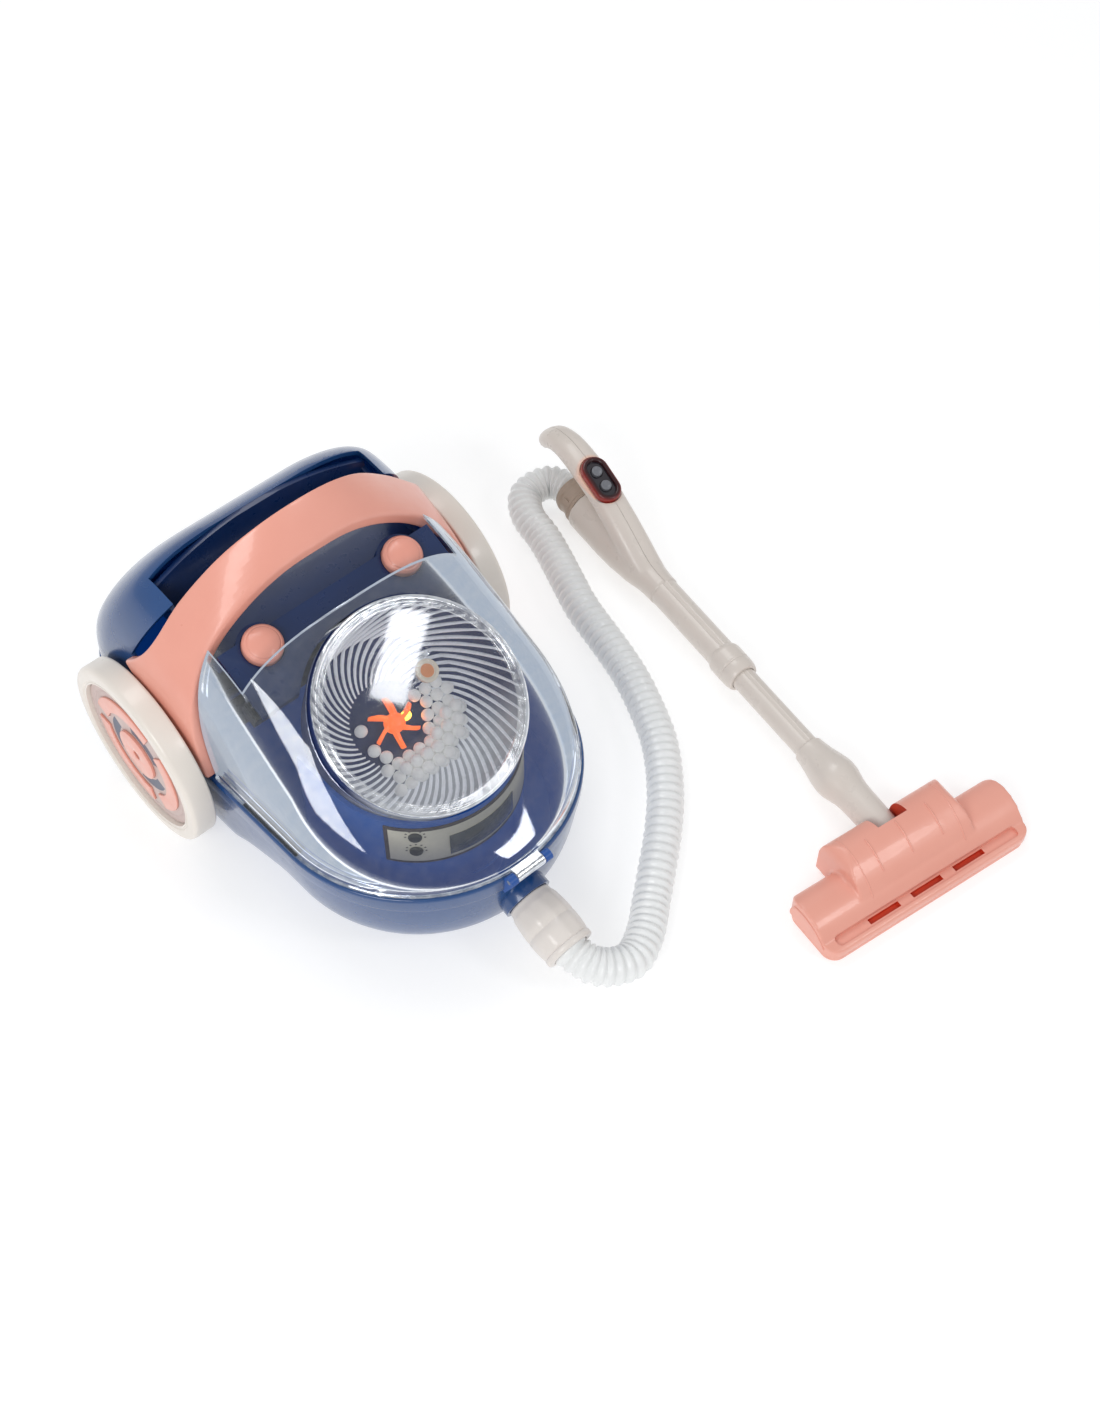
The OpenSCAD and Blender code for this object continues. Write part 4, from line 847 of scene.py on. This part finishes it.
post = turned("token_post", rounded([(0, 0), (2.6, 0), (2, 1.2), (2, 26), (0, 26)], 0.4), on_token, 24)
dress(crease(post), cup_clear, ())
disc_rim = [(0, 26), (5.8, 26), (5.8, 28.4), (4.2, 28.4), (3.9, 27.9), (0, 27.9)]
disc = turned("token_disc", rounded(disc_rim, 0.35), on_token, 40)
token_paint = Finish("token_paint")
tx, ty, tz = token_paint.axes(tuple(on_token(0, 0, 28)))
spread = (tx * tx + ty * ty + tz * tz) ** 0.5
grain = token_paint.noise(500.0)
token_paint.set(Base_Color=token_paint.mix((token_spot_r - spread).over(0.0), tint(240, 230, 212), tint(236, 150, 92)),
                Roughness=0.3 + grain * 0.2)
dress(crease(disc), token_paint.material, ["token"])
bar = prism("token_bar", rounded([(-16, 17), (8, 17), (8, 24), (-16, 24)], 1.2, 3, True), 6, 7.6,
            lambda a, b, h: on_token(a, h, b))
dress(crease(bar), edge_clear, ())
arm = prism("token_arm", rounded([(0, 18), (7, 18), (7, 21), (0, 21)], 0.4, 2, True), -1, 1,
            lambda a, b, h: on_token(h, a, b))
dress(crease(arm), cup_clear, ())

# Shroud and control panel: a blue drum in front of the cup, with a printed beige panel wrapped on its face.
# Two black dials and a dark screen stand on the panel, and the print is a frame with ticks round the dials.
# The shroud takes the tub's inside finish, with its faint blue glow of painted light.
eased("cup_shroud", 0.6, inside.material)
panel = Finish("panel_print")
drum_r, frame_half_w, frame_half_h, dial_along = 50.9, 48.4, 12.6, -35.5
px, py, pz = panel.axes(tuple(canister(0, nose_at, 61.5)))
round_mm = px.bearing(py * -1.0) * drum_r
ink = ((round_mm.size() - frame_half_w).over(0.0) + (pz.size() - frame_half_h).over(0.0)).clamp()
for dial_z in (-3.0, 8.5):
    across, up = round_mm - dial_along, pz - dial_z
    reach = (across * across + up * up) ** 0.5
    swing = across.bearing(up)
    tick = ((reach - 4.7).size() * -1.0).over(-0.5) * (swing * 11.0).cosine().over(0.5)
    ink = (ink + tick * (1.9 - swing.size()).over(0.0)).clamp()
fleck = panel.noise(400.0, 4.0)
panel.set(Base_Color=panel.mix(ink, panel.mix(fleck, tint(206, 202, 186), tint(192, 188, 172)), tint(54, 42, 46)),
          Roughness=0.35 + fleck * 0.2)
eased("control_panel", 0.2, panel.material, segments=2)
eased("panel_dials", 0.4, catch_black)
glass_black = moulded("screen_black", (72, 76, 76), (58, 62, 62), 0.15, 0.04, 0.6)
eased("panel_screen", 0.2, glass_black, segments=2)

# Works inside: motor in its mount, battery box with three cells, contacts, board and speaker.
# They are bought-in pieces and black mouldings that show only through the dome or from below.
can_steel = moulded("motor_can", (168, 171, 176), (146, 149, 155), 0.35, 0.1)
paint(nodes["drive_motor"], can_steel)
eased("motor_mount", 0.5, catch_black)
eased("battery_box", 0.5, catch_black)
cell = Finish("cell_sleeve")
cx = cell.axes(tuple(middle("batteries")))[0]
wrap = cell.noise(300.0)
cell.set(Base_Color=cell.mix((cx - 14.0).over(0.0), tint(36, 96, 66), tint(196, 150, 70)), Roughness=0.3 + wrap * 0.15)
paint(nodes["batteries"], cell.material)
brass = Finish("contact_brass")
rub = brass.noise(500.0)
brass.set(Base_Color=brass.mix(rub, tint(206, 168, 84), tint(176, 138, 62)), Metallic=1.0, Roughness=0.25 + rub * 0.2)
paint(nodes["battery_contacts"], brass.material)
eased("battery_door", 0.3, blue)
board = Finish("board_mask")
tracks = board.node("ShaderNodeTexWave", {"wave_type": "BANDS"}, {"Vector": board.spot(), "Scale": 180.0,
                                                                  "Distortion": 6.0, "Detail Scale": 2.0})
board.set(Base_Color=board.mix(tracks.over(0.7), tint(20, 96, 54), tint(44, 132, 80)), Roughness=0.35)
paint(nodes["circuit_board"], board.material)
cone = moulded("speaker_cone", (30, 30, 32), (20, 20, 22), 0.6, 0.3)
paint(nodes["speaker"], cone)
for name in ("axle", "castor_pin", "neck_pin", "door_screw", "shell_screws"):
    paint(nodes[name], steel.material)

# Rear wheels: cream mouldings with a rounded shoulder, a bead and a sunk face, free on the steel axle.
# A grey printed disc is pressed into each face, with salmon trim on it.
wheel_r, wheel_w, wheel_x, wheel_bore = 50, 13, 87, 2.6
band_r, band_half = 18.5, 3.2
wheel_path = rounded(
    [(wheel_bore, 0.3), (44, 0.3), (44.6, 0, 0.2), (wheel_r, 0, 1.4), (wheel_r, wheel_w, 4.2), (43.6, wheel_w, 0.8),
     (43.0, 12.2, 0.3), (42.3, 12.2, 0.3), (42.0, 12.7, 0.3), (41.2, 12.7, 0.4), (41, 9), (wheel_bore, 9),
     (wheel_bore, 0.3)], 0.5, 5)
disc_path = rounded(
    [(wheel_bore, 9.05), (40.9, 9.05), (40.8, 10.4, 0.4), (37, 10.4, 0.2), (36.8, 10.15, 0.1), (36.2, 10.15, 0.1),
     (36, 10.4, 0.2), (wheel_bore, 10.4), (wheel_bore, 9.05)], 0.2, 3)
for side, hand in HANDS:
    def on_wheel(x, y, z, side=side):
        return canister(side * (wheel_x + z), x, wheel_r + y)

    wheel = turned(hand + "_tyre", wheel_path, on_wheel, 112)
    dress(crease(wheel, 40), cream, [hand + "_wheel"], hand + "_wheel_body")
    face = turned(hand + "_wheel_face", disc_path, on_wheel, 96)
    printed = Finish(hand + "_disc_print")
    gy, gz = printed.axes(tuple(on_wheel(0, 0, 10)))[1:]
    rim = (gy * gy + gz * gz) ** 0.5
    swing = gy.bearing(gz)
    dark = ((rim - band_r).size() * -1.0).over(-band_half) * (swing * 3.0 + 1.6).cosine().over(-0.35)
    haze = printed.noise(140.0, 4.0)
    ground = printed.mix(haze, tint(206, 186, 180), tint(194, 172, 167))
    printed.set(Base_Color=printed.mix(dark, ground, tint(92, 98, 116)),
                Roughness=0.38 + haze * 0.15, Normal=printed.bump(printed.noise(800.0), 0.08, 0.0002))
    dress(crease(face), printed.material, [hand + "_wheel_disc"], hand + "_wheel_body")
    eased(hand + "_wheel_trim", 0.35, salmon, hand + "_wheel_body")

# Castor: a black swivel fork under the nose with a cream roller on a steel pin.
# The fork's stem snaps into the tub.
eased("castor_fork", 0.6, catch_black, "castor")
eased("castor_roller", 1.2, cream, "roller")

# Hose port and cuff: a blue spigot on the canister's nose, and a pale cuff moulded on the hose that plugs into it.
# The cuff has ten soft flats for the fingers, a cross seam and a rolled lip at each end.
eased("hose_port", 0.6, blue)
port_lean = math.radians(14.74)
cuff_length, flat_count, flat_depth, cuff_steps = 32, 10, 0.972, 120
half_flat = math.pi / flat_count
port_ahead = Vector((0, -math.cos(port_lean), -math.sin(port_lean)))
port_up = Vector((0, -math.sin(port_lean), math.cos(port_lean)))
port_start = Vector(hose_route[1]) - cuff_length * port_ahead


def on_port(x, y, z):
    return canister(*(port_start + Vector((x, 0, 0)) + y * port_up + z * port_ahead))


def flats_row(r, z, flat):
    """One ring of the cuff: flat 1 gives ten flats, flat 0 a circle."""
    row = []
    for k in range(cuff_steps):
        a = math.tau * k / cuff_steps
        off = (a + half_flat) % (2 * half_flat) - half_flat
        reach = r * (1 + flat * (min(flat_depth / math.cos(off), 1.0) - 1))
        row.append(on_port(reach * math.cos(a), reach * math.sin(a), z))
    return row


cuff_path = [(9.7, 0.1, 0), (10.9, 0.1, 0), (11.3, 0.5, 0), (11.4, 1.2, 0), (11.6, 3, 0), (12.2, 4.2, 0.2),
             (12.5, 5.2, 0.8), (12.9, 8, 1), (13.3, 12, 1), (13.5, 16.2, 1), (13.2, 16.6, 1), (13.2, 17.3, 1),
             (13.55, 17.7, 1), (13.5, 22, 1), (13.2, 26, 1), (12.9, 27.6, 0.8), (12.6, 28.3, 0.3), (12.4, 28.6, 0),
             (12.9, 28.9, 0), (13.1, 29.6, 0), (13.1, 31, 0), (12.7, 31.8, 0), (12, cuff_length, 0),
             (9.8, cuff_length, 0), (9.7, 31, 0), (9.7, 0.1, 0)]
hose_cuff = drape("hose_cuff_moulding", [flats_row(*row) for row in cuff_path])
cuff_white = moulded("cuff_white", (226, 219, 213), (216, 208, 201), 0.34, 0.1, 0.15)
dress(crease(hose_cuff, 50), cuff_white, ["hose_cuff"])

# Wand tubes: two cream extrusions, the lower sliding in the upper, each with two fine ridges along its top.
# A rolled collar pressed on the upper tube's end grips the lower one.
wand_turn = math.radians(-7)
wand_x, wand_y, wand_axis = 165, -262, 13.5
round_steps, plain_steps, fine_steps = 60, 52, 80
ridge_at, ridge_off, ridge_half = math.tau * 56 / 60, 9, 2.4


def wand(x, y, z):
    """A point of the wand, in millimetres from the floor head's pin; y runs up the wand."""
    c, s = math.cos(wand_turn), math.sin(wand_turn)
    return canister(wand_x + x * c - y * s, wand_y + x * s + y * c, z)


def on_wand(x, y, z):
    return wand(x, z, wand_axis + y)


def ridged_row(r, y, ridge):
    """One ring of a tube, with finer steps where the two ridges stand on its top."""
    row = []
    for k in range(plain_steps + fine_steps):
        a = math.tau * min(k, plain_steps) / round_steps
        if k > plain_steps:
            a += math.tau * (round_steps - plain_steps) / round_steps * (k - plain_steps) / fine_steps
        off = math.degrees((a - ridge_at + math.pi) % math.tau - math.pi)
        crest = sum(math.exp(-((off - side * ridge_off) / ridge_half) ** 2) for side in (-1, 1))
        turn = a + math.pi / 2 - ridge_at
        row.append(on_wand((r + ridge * crest) * math.cos(turn), (r + ridge * crest) * math.sin(turn), y))
    return row


def ridged_tube(name, bore, r, ridge, start, end, step):
    rings = [(bore, start, 0), (r, start, ridge)] + [(r, y, ridge) for y in range(start + step, end, step)]
    rings += [(r, end, ridge), (bore, end, 0), (bore, start, 0)]
    return crease(drape(name, [ridged_row(*ring) for ring in rings]), 50)


wand_cream = moulded("wand_cream", (218, 209, 201), (208, 198, 189), 0.3, 0.1, 0.2)
upper = ridged_tube("upper_tube_skin", 7.2, 8.3, 0.3, 128, 236, 6)
dress(upper, wand_cream, ["upper_tube"])
collar_path = [(7.05, 119.6), (8.6, 119.6, 0.5), (9.3, 121.4, 1), (9.7, 124, 1), (9.7, 126.6, 0.2), (9.35, 127, 0.1),
               (9.35, 127.6, 0.1), (9.7, 128, 0.2), (9.7, 136.4, 1), (8.8, 138.2, 0.6), (8.4, 138.4, 0.2),
               (8.4, 128.2), (7.05, 128.2), (7.05, 119.6)]
collar = turned("collar_ring", rounded(collar_path, 0.3), on_wand, 72)
dress(crease(collar, 40), wand_cream, ["tube_collar"])
lower = ridged_tube("lower_tube_skin", 5.8, 6.75, 0.2, 48, 176, 8)
dress(lower, wand_cream, ["lower_tube"], "lower_wand")

# Elbow: a blow-moulded knuckle pressed on the lower tube, with a narrow neck that swivels in the floor head.
# It swells behind the neck and steps down round the tube.
elbow_knots = [
    (-8, 0.05), (-7.6, 2.4), (-6.6, 4.6), (-4.4, 6.7), (-1, 7.9), (4, 8.3), (12, 8.7), (22, 9.0), (28, 9.2), (32, 9.7),
    (36, 10.7), (39, 11.4), (42.5, 11.75), (46, 11.5), (50, 10.8), (56, 9.5), (62.5, 8.35), (64.2, 8.2), (64.8, 7.9),
    (65, 6.8)]
elbow_lift = [(-8, 1.5), (30, 1.5), (42, 1.0), (54, 0.2), (65, 0)]
elbow_rows = []
for i in range(len(elbow_knots) - 1):
    for t in (0, 0.5):
        y = elbow_knots[i][0] * (1 - t) + elbow_knots[i + 1][0] * t
        r, lift = max(between(elbow_knots, y), 0.05), between(elbow_lift, y)
        elbow_rows.append([on_wand(r * c, lift + r * s, y) for c, s in circle(1, 72)])
elbow = drape("elbow_knuckle", elbow_rows, capped=True)
dress(crease(elbow, 50), wand_cream, ["elbow"], "lower_wand")

# Grip: two cream half shells glued along the middle, from the tube's end up into the bowed handle.
# Below the bow they flare into a socket for the hose's cuff, and the joint leaves a fine line.
bow_stations = [(196, 13.5, 6.6), (204, 15, 7.0), (216, 21, 7.4), (230, 30, 7.2), (246, 38.5, 7.0), (262, 44, 7.0),
                (278, 47, 6.7), (290, 45.5, 6.3), (298, 41, 5.8), (303, 35, 4.6), (304.6, 31.4, 2.6),
                (304.9, 30.2, 0.3)]
bow_line = smooth_line([Vector((0, y, z)) for y, z, h in bow_stations], 6)
bow_sizes = smooth_line([Vector((h, 0, 0)) for y, z, h in bow_stations], 6)
bow_rows = []
for i, place in enumerate(bow_line):
    ahead = (bow_line[min(i + 1, len(bow_line) - 1)] - bow_line[max(i - 1, 0)]).normalized()
    up = Vector((1, 0, 0)).cross(ahead)
    h = max(bow_sizes[i].x, 0.1)
    row = []
    for c, s in circle(1, 48):
        across = 9 / 7 * h * math.copysign(abs(c) ** 0.8, c)
        lift = h * math.copysign(abs(s) ** 0.8, s)
        row.append(wand(*(place + Vector((across, 0, 0)) + lift * up)))
    bow_rows.append(row)
grip = drape("grip_left_half", bow_rows, capped=True)
socket_path = [(0, 190), (8.9, 190), (8.9, 196), (9.4, 202), (11.5, 212), (13.0, 226), (13.5, 238), (13.5, 263.8),
               (0, 263.8)]
cut(grip, turned("grip_socket", socket_path, on_wand, 72), "UNION")
work(grip, "REMESH", mode="VOXEL", voxel_size=0.8 * MM)
work(grip, "SMOOTH", factor=0.5, iterations=12)
plate_lean = math.radians(18.97)
plate_length, plate_width = 23, 10.4
plate_y, plate_z, bow_half = 254, 41.6, 7.2
lean_c, lean_s = math.cos(plate_lean), math.sin(plate_lean)


def on_plate(x, y, z):
    """A point over the control plate: y runs up the bow and z stands off its back."""
    return wand(x, plate_y + y * lean_c - (z + bow_half) * lean_s, plate_z + y * lean_s + (z + bow_half) * lean_c)


def stadium(length, width, count):
    r = width / 2
    ends = [(x, length / 2 - r + y) for x, y in circle(r, 2 * count)[:count + 1]]
    return ends + [(-x, -y) for x, y in ends]


bore_path = [(0, 186), (8.35, 186), (8.35, 250), (11.7, 250), (11.7, 280), (0, 280)]
for cutter in (turned("grip_bore", bore_path, on_wand, 72),
               prism("plate_seat", stadium(29.4, 16.8, 24), -3.6, 20, on_plate)):
    cut(grip, cutter)
half_gap = 0.09
other_half = placed("grip_right_half", grip.data.copy())
for half, low, high in ((grip, -60, -half_gap), (other_half, half_gap, 60)):
    cut(half, prism("half_block", [(low, 170), (high, 170), (high, 330), (low, 330)], -20, 90, wand), "INTERSECT")
    crease(half, 40)
turn_c, turn_s = math.cos(wand_turn), math.sin(wand_turn)


def from_plate(finish):
    """Distance in millimetres from the plate's middle line, and height over its middle."""
    x, y, z = finish.axes(tuple(on_plate(0, 0, 0)))
    side = x * turn_c + y * turn_s
    past = ((y * turn_c - x * turn_s) * lean_c + z * lean_s).size() - (plate_length - plate_width) / 2
    past = past * past.over(0.0)
    return (side * side + past * past) ** 0.5, z


grip_cream = Finish("grip_cream")
plate_off, plate_up = from_plate(grip_cream)
blush = (1.0 - (plate_off - 8.0).size() * 0.4).clamp() * plate_up.over(-6.0)
clouds, marks = grip_cream.noise(22.0, 4.0), grip_cream.noise(160.0, 6.0)
clean = grip_cream.mix(clouds, tint(220, 211, 203), tint(208, 198, 189))
grip_cream.set(Base_Color=grip_cream.mix(blush * 0.75, clean, tint(246, 190, 160)),
               Roughness=0.24 + (marks ** 2) * 0.24, Normal=grip_cream.bump(grip_cream.noise(900.0), 0.1, 0.0002),
               Coat_Weight=0.2, Coat_Roughness=0.04)
dress(grip, grip_cream.material, ["grip_left"])
dress(other_half, grip_cream.material, ["grip_right"])

# Control plate: a gloss black oval let into the bow, inside a red rim that lights up, with two grey keys.
# The rim is a clear red moulding, darker towards the plate.
red_rim = Finish("rim_red")
rim_out = ((from_plate(red_rim)[0] - 5.2) * 0.34).clamp() ** 3
red_rim.set(Base_Color=red_rim.mix(rim_out, tint(46, 14, 18), tint(170, 52, 44)), Roughness=0.25,
            Emission_Color=red_rim.mix(rim_out, tint(30, 2, 2), tint(170, 40, 30)), Emission_Strength=0.12)
rim_path = rounded([(-0.4, -3), (-0.4, 1.3), (0.6, 1.7), (1.8, 1.4), (2.5, 0.5), (2.5, -3)], 0.5, 3)


def rim_row(out, z):
    return [on_plate(x, y, z) for x, y in stadium(plate_length + 2 * out, plate_width + 2 * out, 20)]


plate_ring = drape("plate_ring", [rim_row(out, z) for out, z in rim_path + rim_path[:1]])
dress(crease(plate_ring, 50), red_rim.material, ["plate_rim"])
plate_black = moulded("plate_black", (40, 34, 42), (26, 22, 30), 0.18, 0.05, 0.6)
eased("control_plate", 0.4, plate_black)
key_grey = moulded("key_grey", (116, 118, 124), (96, 98, 104), 0.35, 0.1)
key_path = rounded([(0, 0.55), (1.4, 0.65), (2.2, 1.0), (2.95, 0.8, 0.3), (2.95, -2.4), (0, -2.4)], 0.3)
key_off, key_lift = 4.7, 0.6
for key, place_y in (("front", -key_off), ("rear", key_off)):
    key_top = turned(key + "_key_cap", key_path,
                     lambda x, y, z, place_y=place_y: on_plate(x, place_y + y, z + key_lift), 36)
    dress(crease(key_top, 40), key_grey, [key + "_key"], key + "_key_body")

# Wand cuff: the brown-beige end of the hose, turned down to a spigot with ring edges.
# A bayonet lug on its side locks it in the grip's socket.
cuff_brown = moulded("cuff_brown", (176, 158, 143), (160, 141, 126), 0.4, 0.15)
spigot_path = [(9.75, 250.2), (11.5, 250.2), (11.5, 263.9), (12.6, 264.1, 0.3), (12.6, 265.4, 0.3), (12.2, 265.7, 0.1),
               (12.2, 266.3, 0.1), (12.6, 266.6, 0.3), (12.6, 268, 0.4), (11.6, 268.4, 0.3), (11.5, 274.6, 0.3),
               (12.1, 275.2, 0.3), (12.1, 276.6, 0.3), (11.6, 277, 0.2), (11.5, 278.8, 0.5), (9.75, 279), (9.75, 250.2)]
wand_cuff = turned("wand_cuff_moulding", rounded(spigot_path, 0.3), on_wand, 84)
dress(crease(wand_cuff, 40), cuff_brown, ["wand_cuff"])
lug_c, lug_s = math.cos(0.5), math.sin(0.5)
lug_path = rounded([(-1.6, 268), (1.6, 268), (1.6, 273), (-1.6, 273)], 0.8, 3, True)
lug = prism("cuff_lug", lug_path, 11.2, 12.5,
            lambda a, b, h: on_wand(-h * lug_c - a * lug_s, h * lug_s - a * lug_c, b))
dress(crease(lug), cuff_brown, ())

# Floor head: a salmon shell with a round back, a hump over the neck, and a front gutter with three suction slots.
# It is one moulding on a flat sole, with raised lines on the hump and an oval boss on each end.
head_half, hump_half, slot_half, slot_pitch = 64, 36, 9.5, 27
head_gloss = moulded("head_salmon", (236, 166, 148), (228, 154, 136), 0.34, 0.1, 0.2)
slot_red = moulded("slot_red", (214, 70, 40), (190, 48, 24), 0.5, 0.1)


def head_side(a, b, h):
    return wand(h, a, b)


def head_front(a, b, h):
    return wand(a, h, b)


bar_path = rounded(
    [(-36, 2.7), (-36, 9.0, 1.6), (-33.6, 9.9, 0.8), (-28.8, 9.9, 0.4), (-26.6, 12.2), (-23.4, 15.8), (-18, 18.9),
     (-12, 20), (-6, 19.2), (-1, 16), (1, 11, 3), (1, 2.7)], 2.4, 4, True)
head = prism("head_shell", bar_path, -head_half, head_half, head_side)
bar_plan = rounded([(-head_half, -36), (head_half, -36), (head_half, 1), (-head_half, 1)], 9, 10, True)
cut(head, prism("head_plan", bar_plan, 2.0, 40, wand), "INTERSECT")
hump_path = rounded(
    [(12, 2.7), (12, 19, 4), (9.6, 25.4, 4), (5, 28.8, 4), (-1, 30, 4), (-8, 28.5, 4), (-18, 22, 4), (-24, 14),
     (-24, 2.7)], 1, 5, True)
hump = prism("head_hump", hump_path, -hump_half, hump_half, head_side)
hump_front = rounded([(-hump_half, 2), (hump_half, 2), (hump_half, 30.2, 9), (-hump_half, 30.2, 9)], 0.5, 8, True)
cut(hump, prism("hump_front", hump_front, -30, 20, head_front), "INTERSECT")
cut(head, hump, "UNION")
work(head, "REMESH", mode="VOXEL", voxel_size=0.65 * MM)
work(head, "SMOOTH", factor=0.5, iterations=6)
gutter_plan = rounded([(-57.5, -33.4), (57.5, -33.4), (57.5, -27.6), (-57.5, -27.6)], 2.6, 5, True)
cutters = [prism("head_gutter", gutter_plan, 8.2, 16, wand),
           prism("neck_slot", [(-10, 5.8), (22, 5.8), (22, 50.6), (-2.6, 26), (-10, 26)], -9.2, 9.2, head_side),
           prism("head_hollow", rounded([(-50, -30), (50, -30), (50, -15), (-50, -15)], 2, 3, True), 0, 5.2, wand)]
slot_path = [(-31.4, 5.8), (-28.3, 5.8), (-28.3, 18), (-31.4, 18)]
for x in (-slot_pitch, 0, slot_pitch):
    cutters.append(prism("slot_cut", slot_path, x - slot_half, x + slot_half, head_side))
paint(head, head_gloss)
for k, cutter in enumerate(cutters):
    cutter.data.materials.append(head_gloss if k == 0 else slot_red)
    cut(head, cutter)
dress(crease(head, 40), None, ["head_top"], "floor_head")


def head_top_at(x, y):
    """Height of the head's upper face at a place of the wand's frame."""
    hit, place = head.ray_cast(wand(x, y, 60), Vector((0, 0, -1)))[:2]
    return place.z / MM if hit else 0.0


line_steps, seam_steps = 24, 40


def head_cord(name, x, start, run, steps, sunk, radius_at):
    """A round line laid over the head towards its front, sunk a little in its face."""
    line = []
    for k in range(steps + 1):
        y = start - run * k / steps
        line.append(wand(x, y, head_top_at(x, y) - sunk))
    return drape(name, swept(line, radius_at, 8), capped=True)


raised = [head_cord("head_line", x, -0.5, 16.5, line_steps, 0, lambda i: (0.5 if 0 < i < line_steps else 0.2) * MM)
          for x in (-19, 0, 19)]
raised += [head_cord("head_seam", x, 8, 31, seam_steps, 0.22, lambda i: 0.45 * MM) for x in (-29.5, 29.5)]
dress(join(raised, "head_lines"), head_gloss, (), "floor_head")
boss_path = rounded([(-30.4, 6.2, 3), (-27, 10.4, 3), (-21, 14.6, 3), (-12, 16.6, 3), (-5, 15.2, 3), (-2.8, 10, 3),
                     (-2.8, 6, 2)], 2, 4, True)
for side, hand in HANDS:
    boss = prism("head_" + hand + "_boss", boss_path, side * (head_half - 1.5), side * (head_half + 0.5), head_side)
    dress(crease(bevelled(boss, 0.45, 3, 50)), head_gloss, (), "floor_head")
eased("head_sole", 0.5, head_gloss, "floor_head")
eased("pin_bosses", 0.4, head_gloss, "floor_head")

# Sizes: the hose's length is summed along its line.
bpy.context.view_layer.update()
hose_length = sum((b - a).length for a, b in zip(hose_line, hose_line[1:]))
